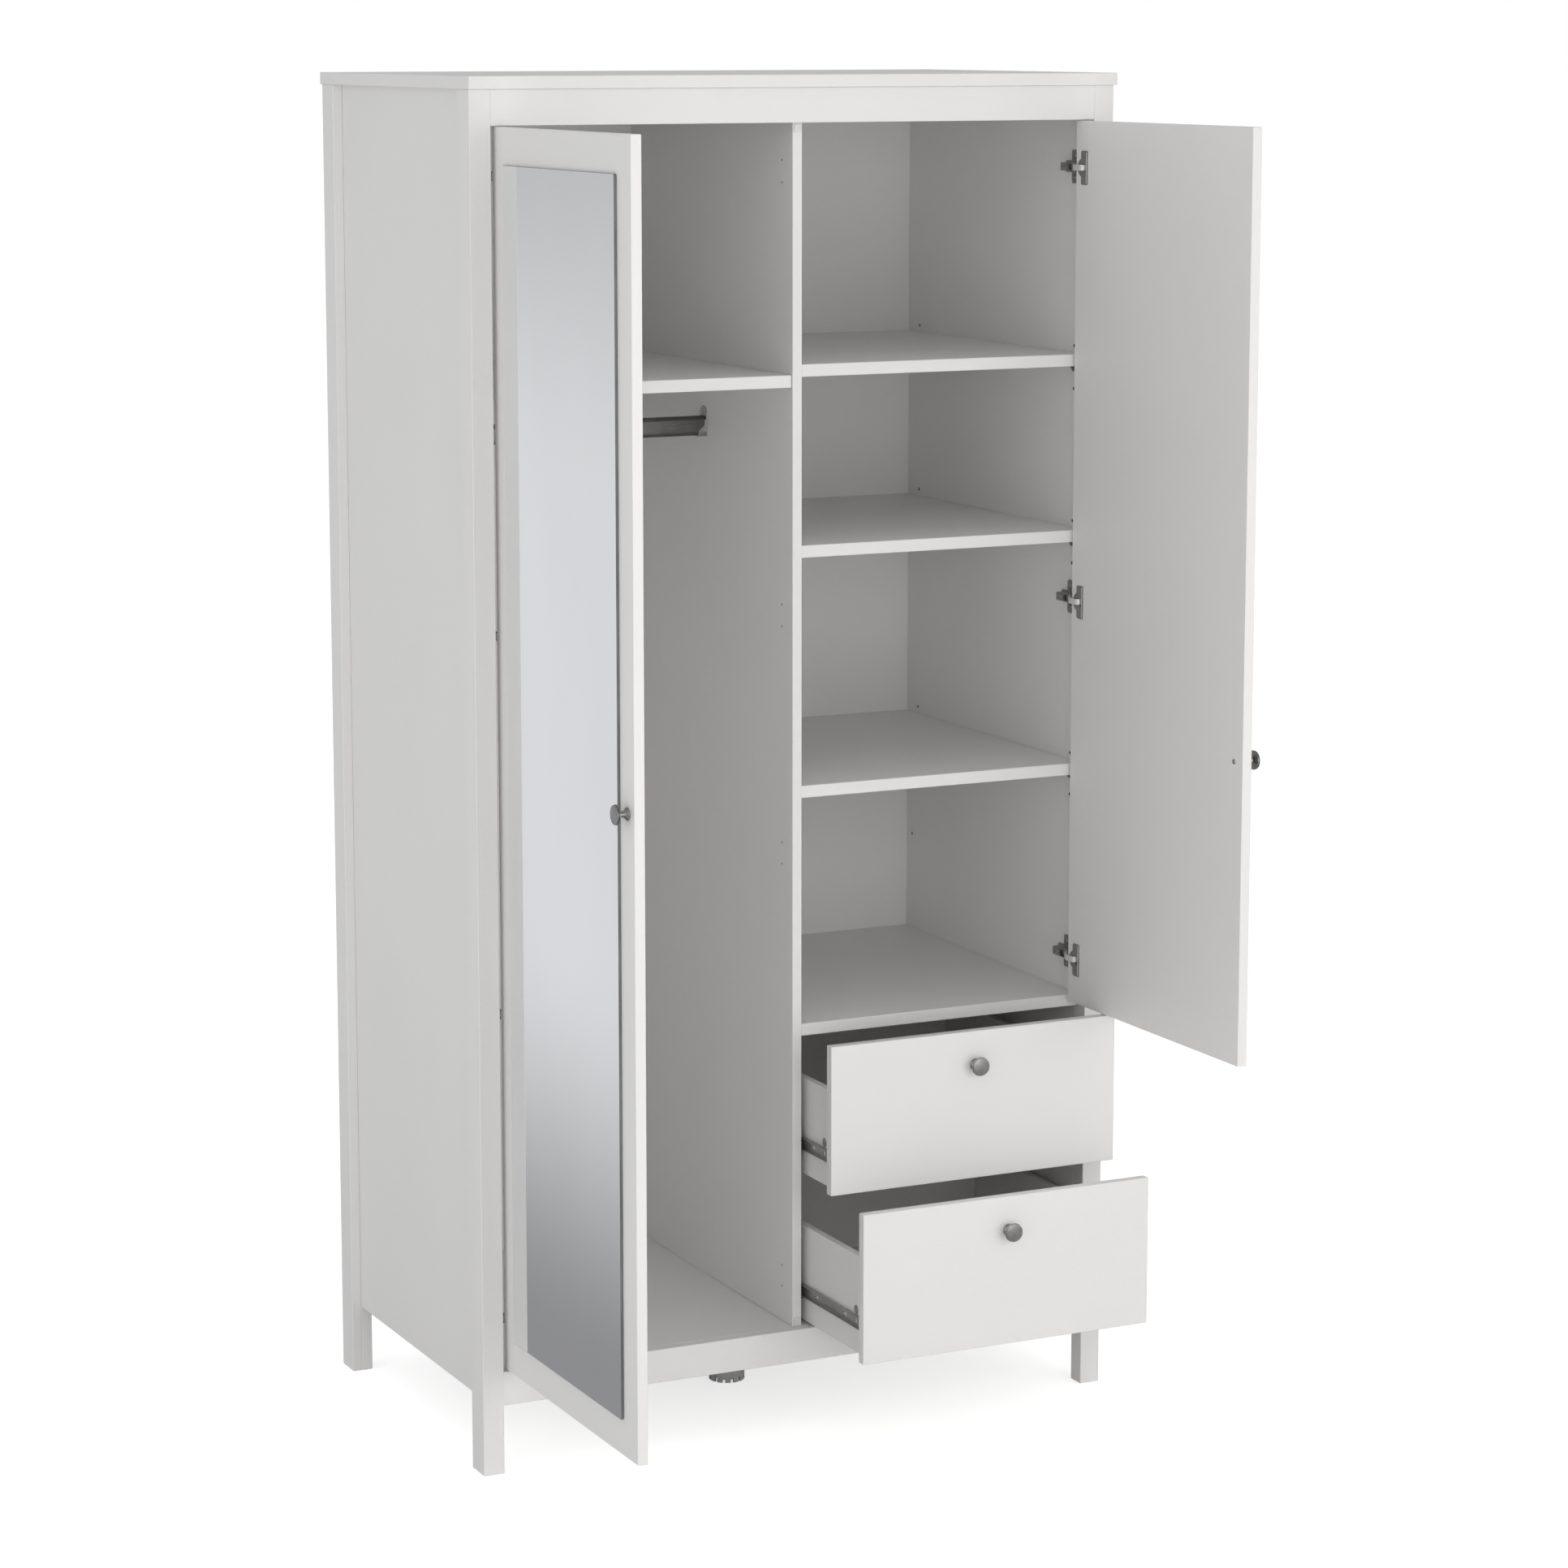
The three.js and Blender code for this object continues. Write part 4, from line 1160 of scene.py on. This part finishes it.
def add_light(name, location, size, power, colour):
    data = bpy.data.lights.new(name, "AREA")
    data.shape = "RECTANGLE"
    data.size, data.size_y = size
    data.energy = power
    data.color = colour
    obj = bpy.data.objects.new(name, data)
    obj.location = location
    obj.rotation_euler = (LIGHT_TARGET - location).to_track_quat("-Z", "Y").to_euler()
    obj.visible_camera = False
    bpy.context.scene.collection.objects.link(obj)
    return obj


def keep_out_of(light, obj):
    """Stops a lamp from showing in a mirror-like piece as a hard-edged patch."""
    others = bpy.data.collections.new(f"{light.name}_misses")
    others.objects.link(obj)
    light.light_linking.receiver_collection = others
    others.collection_objects[0].light_linking.link_state = "EXCLUDE"


def floor_material():
    """A plain pale floor. Where the camera sees it, it is lifted towards the white of the backdrop."""
    finish = Finish("floor", specular=0.0)
    cloud = finish.noise(0.8, detail=2)
    finish.colour(finish.mix(cloud, grey(0.88), grey(0.90)))
    finish.shader.inputs["Roughness"].default_value = 0.9
    finish.shader.inputs["Emission Color"].default_value = (1, 1, 1, 1)
    seen = finish.nodes.new("ShaderNodeLightPath").outputs["Is Camera Ray"]
    finish.links.new(finish.spread(seen, 0, FLOOR_LIFT, 0, 1), finish.shader.inputs["Emission Strength"])
    return finish.made


def add_floor():
    reach = FLOOR_REACH
    corners = [(-reach, -reach, 0), (reach, -reach, 0), (reach, reach, 0), (-reach, reach, 0)]
    add_stage("floor", corners, floor_material())


def add_mirror_card():
    """A sheet of graded light on the floor to the left, which only mirror-like surfaces see.

    It is graded only by the distance from the mirror's plane, so that its light lies in bands beside the
    wardrobe. The ramp runs along distance / (distance + spread), which brings far places within reach.
    """
    reach = FLOOR_REACH - 1
    edge = cad_low.x - 0.01
    corners = [(-reach, -reach, 0.001), (edge, -reach, 0.001), (edge, reach, 0.001), (-reach, reach, 0.001)]
    made = bpy.data.materials.new("mirror_card")
    made.use_nodes = True
    nodes, links = made.node_tree.nodes, made.node_tree.links
    nodes.clear()
    split = nodes.new("ShaderNodeSeparateXYZ")
    links.new(nodes.new("ShaderNodeTexCoord").outputs["Object"], split.inputs[0])
    distance, spread, share = (nodes.new("ShaderNodeMath") for _ in range(3))
    distance.operation = "SUBTRACT"
    distance.inputs[0].default_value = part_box("mirror")[0].x
    links.new(split.outputs["X"], distance.inputs[1])
    spread.inputs[0].default_value = CARD_SPREAD
    links.new(distance.outputs[0], spread.inputs[1])
    share.operation = "DIVIDE"
    links.new(distance.outputs[0], share.inputs[0])
    links.new(spread.outputs[0], share.inputs[1])
    ramp = nodes.new("ShaderNodeValToRGB")
    ramp.color_ramp.interpolation = "EASE"
    stops = ramp.color_ramp.elements
    while len(stops) > 1:
        stops.remove(stops[-1])
    for index, (metres, level) in enumerate(MIRROR_CARD):
        position = metres / (metres + CARD_SPREAD)
        stop = stops[0] if index == 0 else stops.new(position)
        stop.position = position
        stop.color = (level, level, level * 1.02, 1)
    links.new(share.outputs[0], ramp.inputs["Fac"])
    glow = nodes.new("ShaderNodeEmission")
    links.new(ramp.outputs["Color"], glow.inputs["Color"])
    output = nodes.new("ShaderNodeOutputMaterial")
    links.new(glow.outputs[0], output.inputs["Surface"])
    card = add_stage("mirror_card", corners, made)
    card.visible_camera = False
    card.visible_diffuse = False
    card.visible_shadow = False
    card.visible_transmission = False


def make_world():
    """Even light from all round, behind a white backdrop that only the camera sees."""
    world = bpy.data.worlds.new("studio")
    bpy.context.scene.world = world
    world.use_nodes = True
    nodes, links = world.node_tree.nodes, world.node_tree.links
    nodes.clear()
    choose = nodes.new("ShaderNodeMixShader")
    seen = nodes.new("ShaderNodeLightPath")
    links.new(seen.outputs["Is Camera Ray"], choose.inputs["Fac"])
    for slot, strength in ((1, AMBIENT), (2, 1.0)):
        background = nodes.new("ShaderNodeBackground")
        background.inputs["Color"].default_value = (1, 1, 1, 1)
        background.inputs["Strength"].default_value = strength
        links.new(background.outputs[0], choose.inputs[slot])
    output = nodes.new("ShaderNodeOutputWorld")
    links.new(choose.outputs[0], output.inputs["Surface"])


add_floor()
add_mirror_card()
make_world()
for name, (around, up, distance, size, power, colour) in LIGHTS.items():
    around, up = math.radians(around), math.radians(up)
    way = Vector((math.sin(around) * math.cos(up), -math.cos(around) * math.cos(up), math.sin(up)))
    lamp = add_light(f"{name}_light", LIGHT_TARGET + way * distance, size, power, colour)
    keep_out_of(lamp, mirror)

# ---- camera

camera_data = bpy.data.cameras.new("camera")
camera_data.sensor_width = 36
camera_data.lens = CAMERA_LENS
camera_data.shift_y = CAMERA_SHIFT
camera_data.clip_end = 200
camera = bpy.data.objects.new("camera", camera_data)
camera.location = CAMERA_PLACE
camera.rotation_euler = (math.radians(90 - CAMERA_PITCH), 0, math.radians(CAMERA_YAW))
bpy.context.scene.collection.objects.link(camera)
bpy.context.scene.camera = camera
bpy.context.scene.view_settings.view_transform = "Standard"
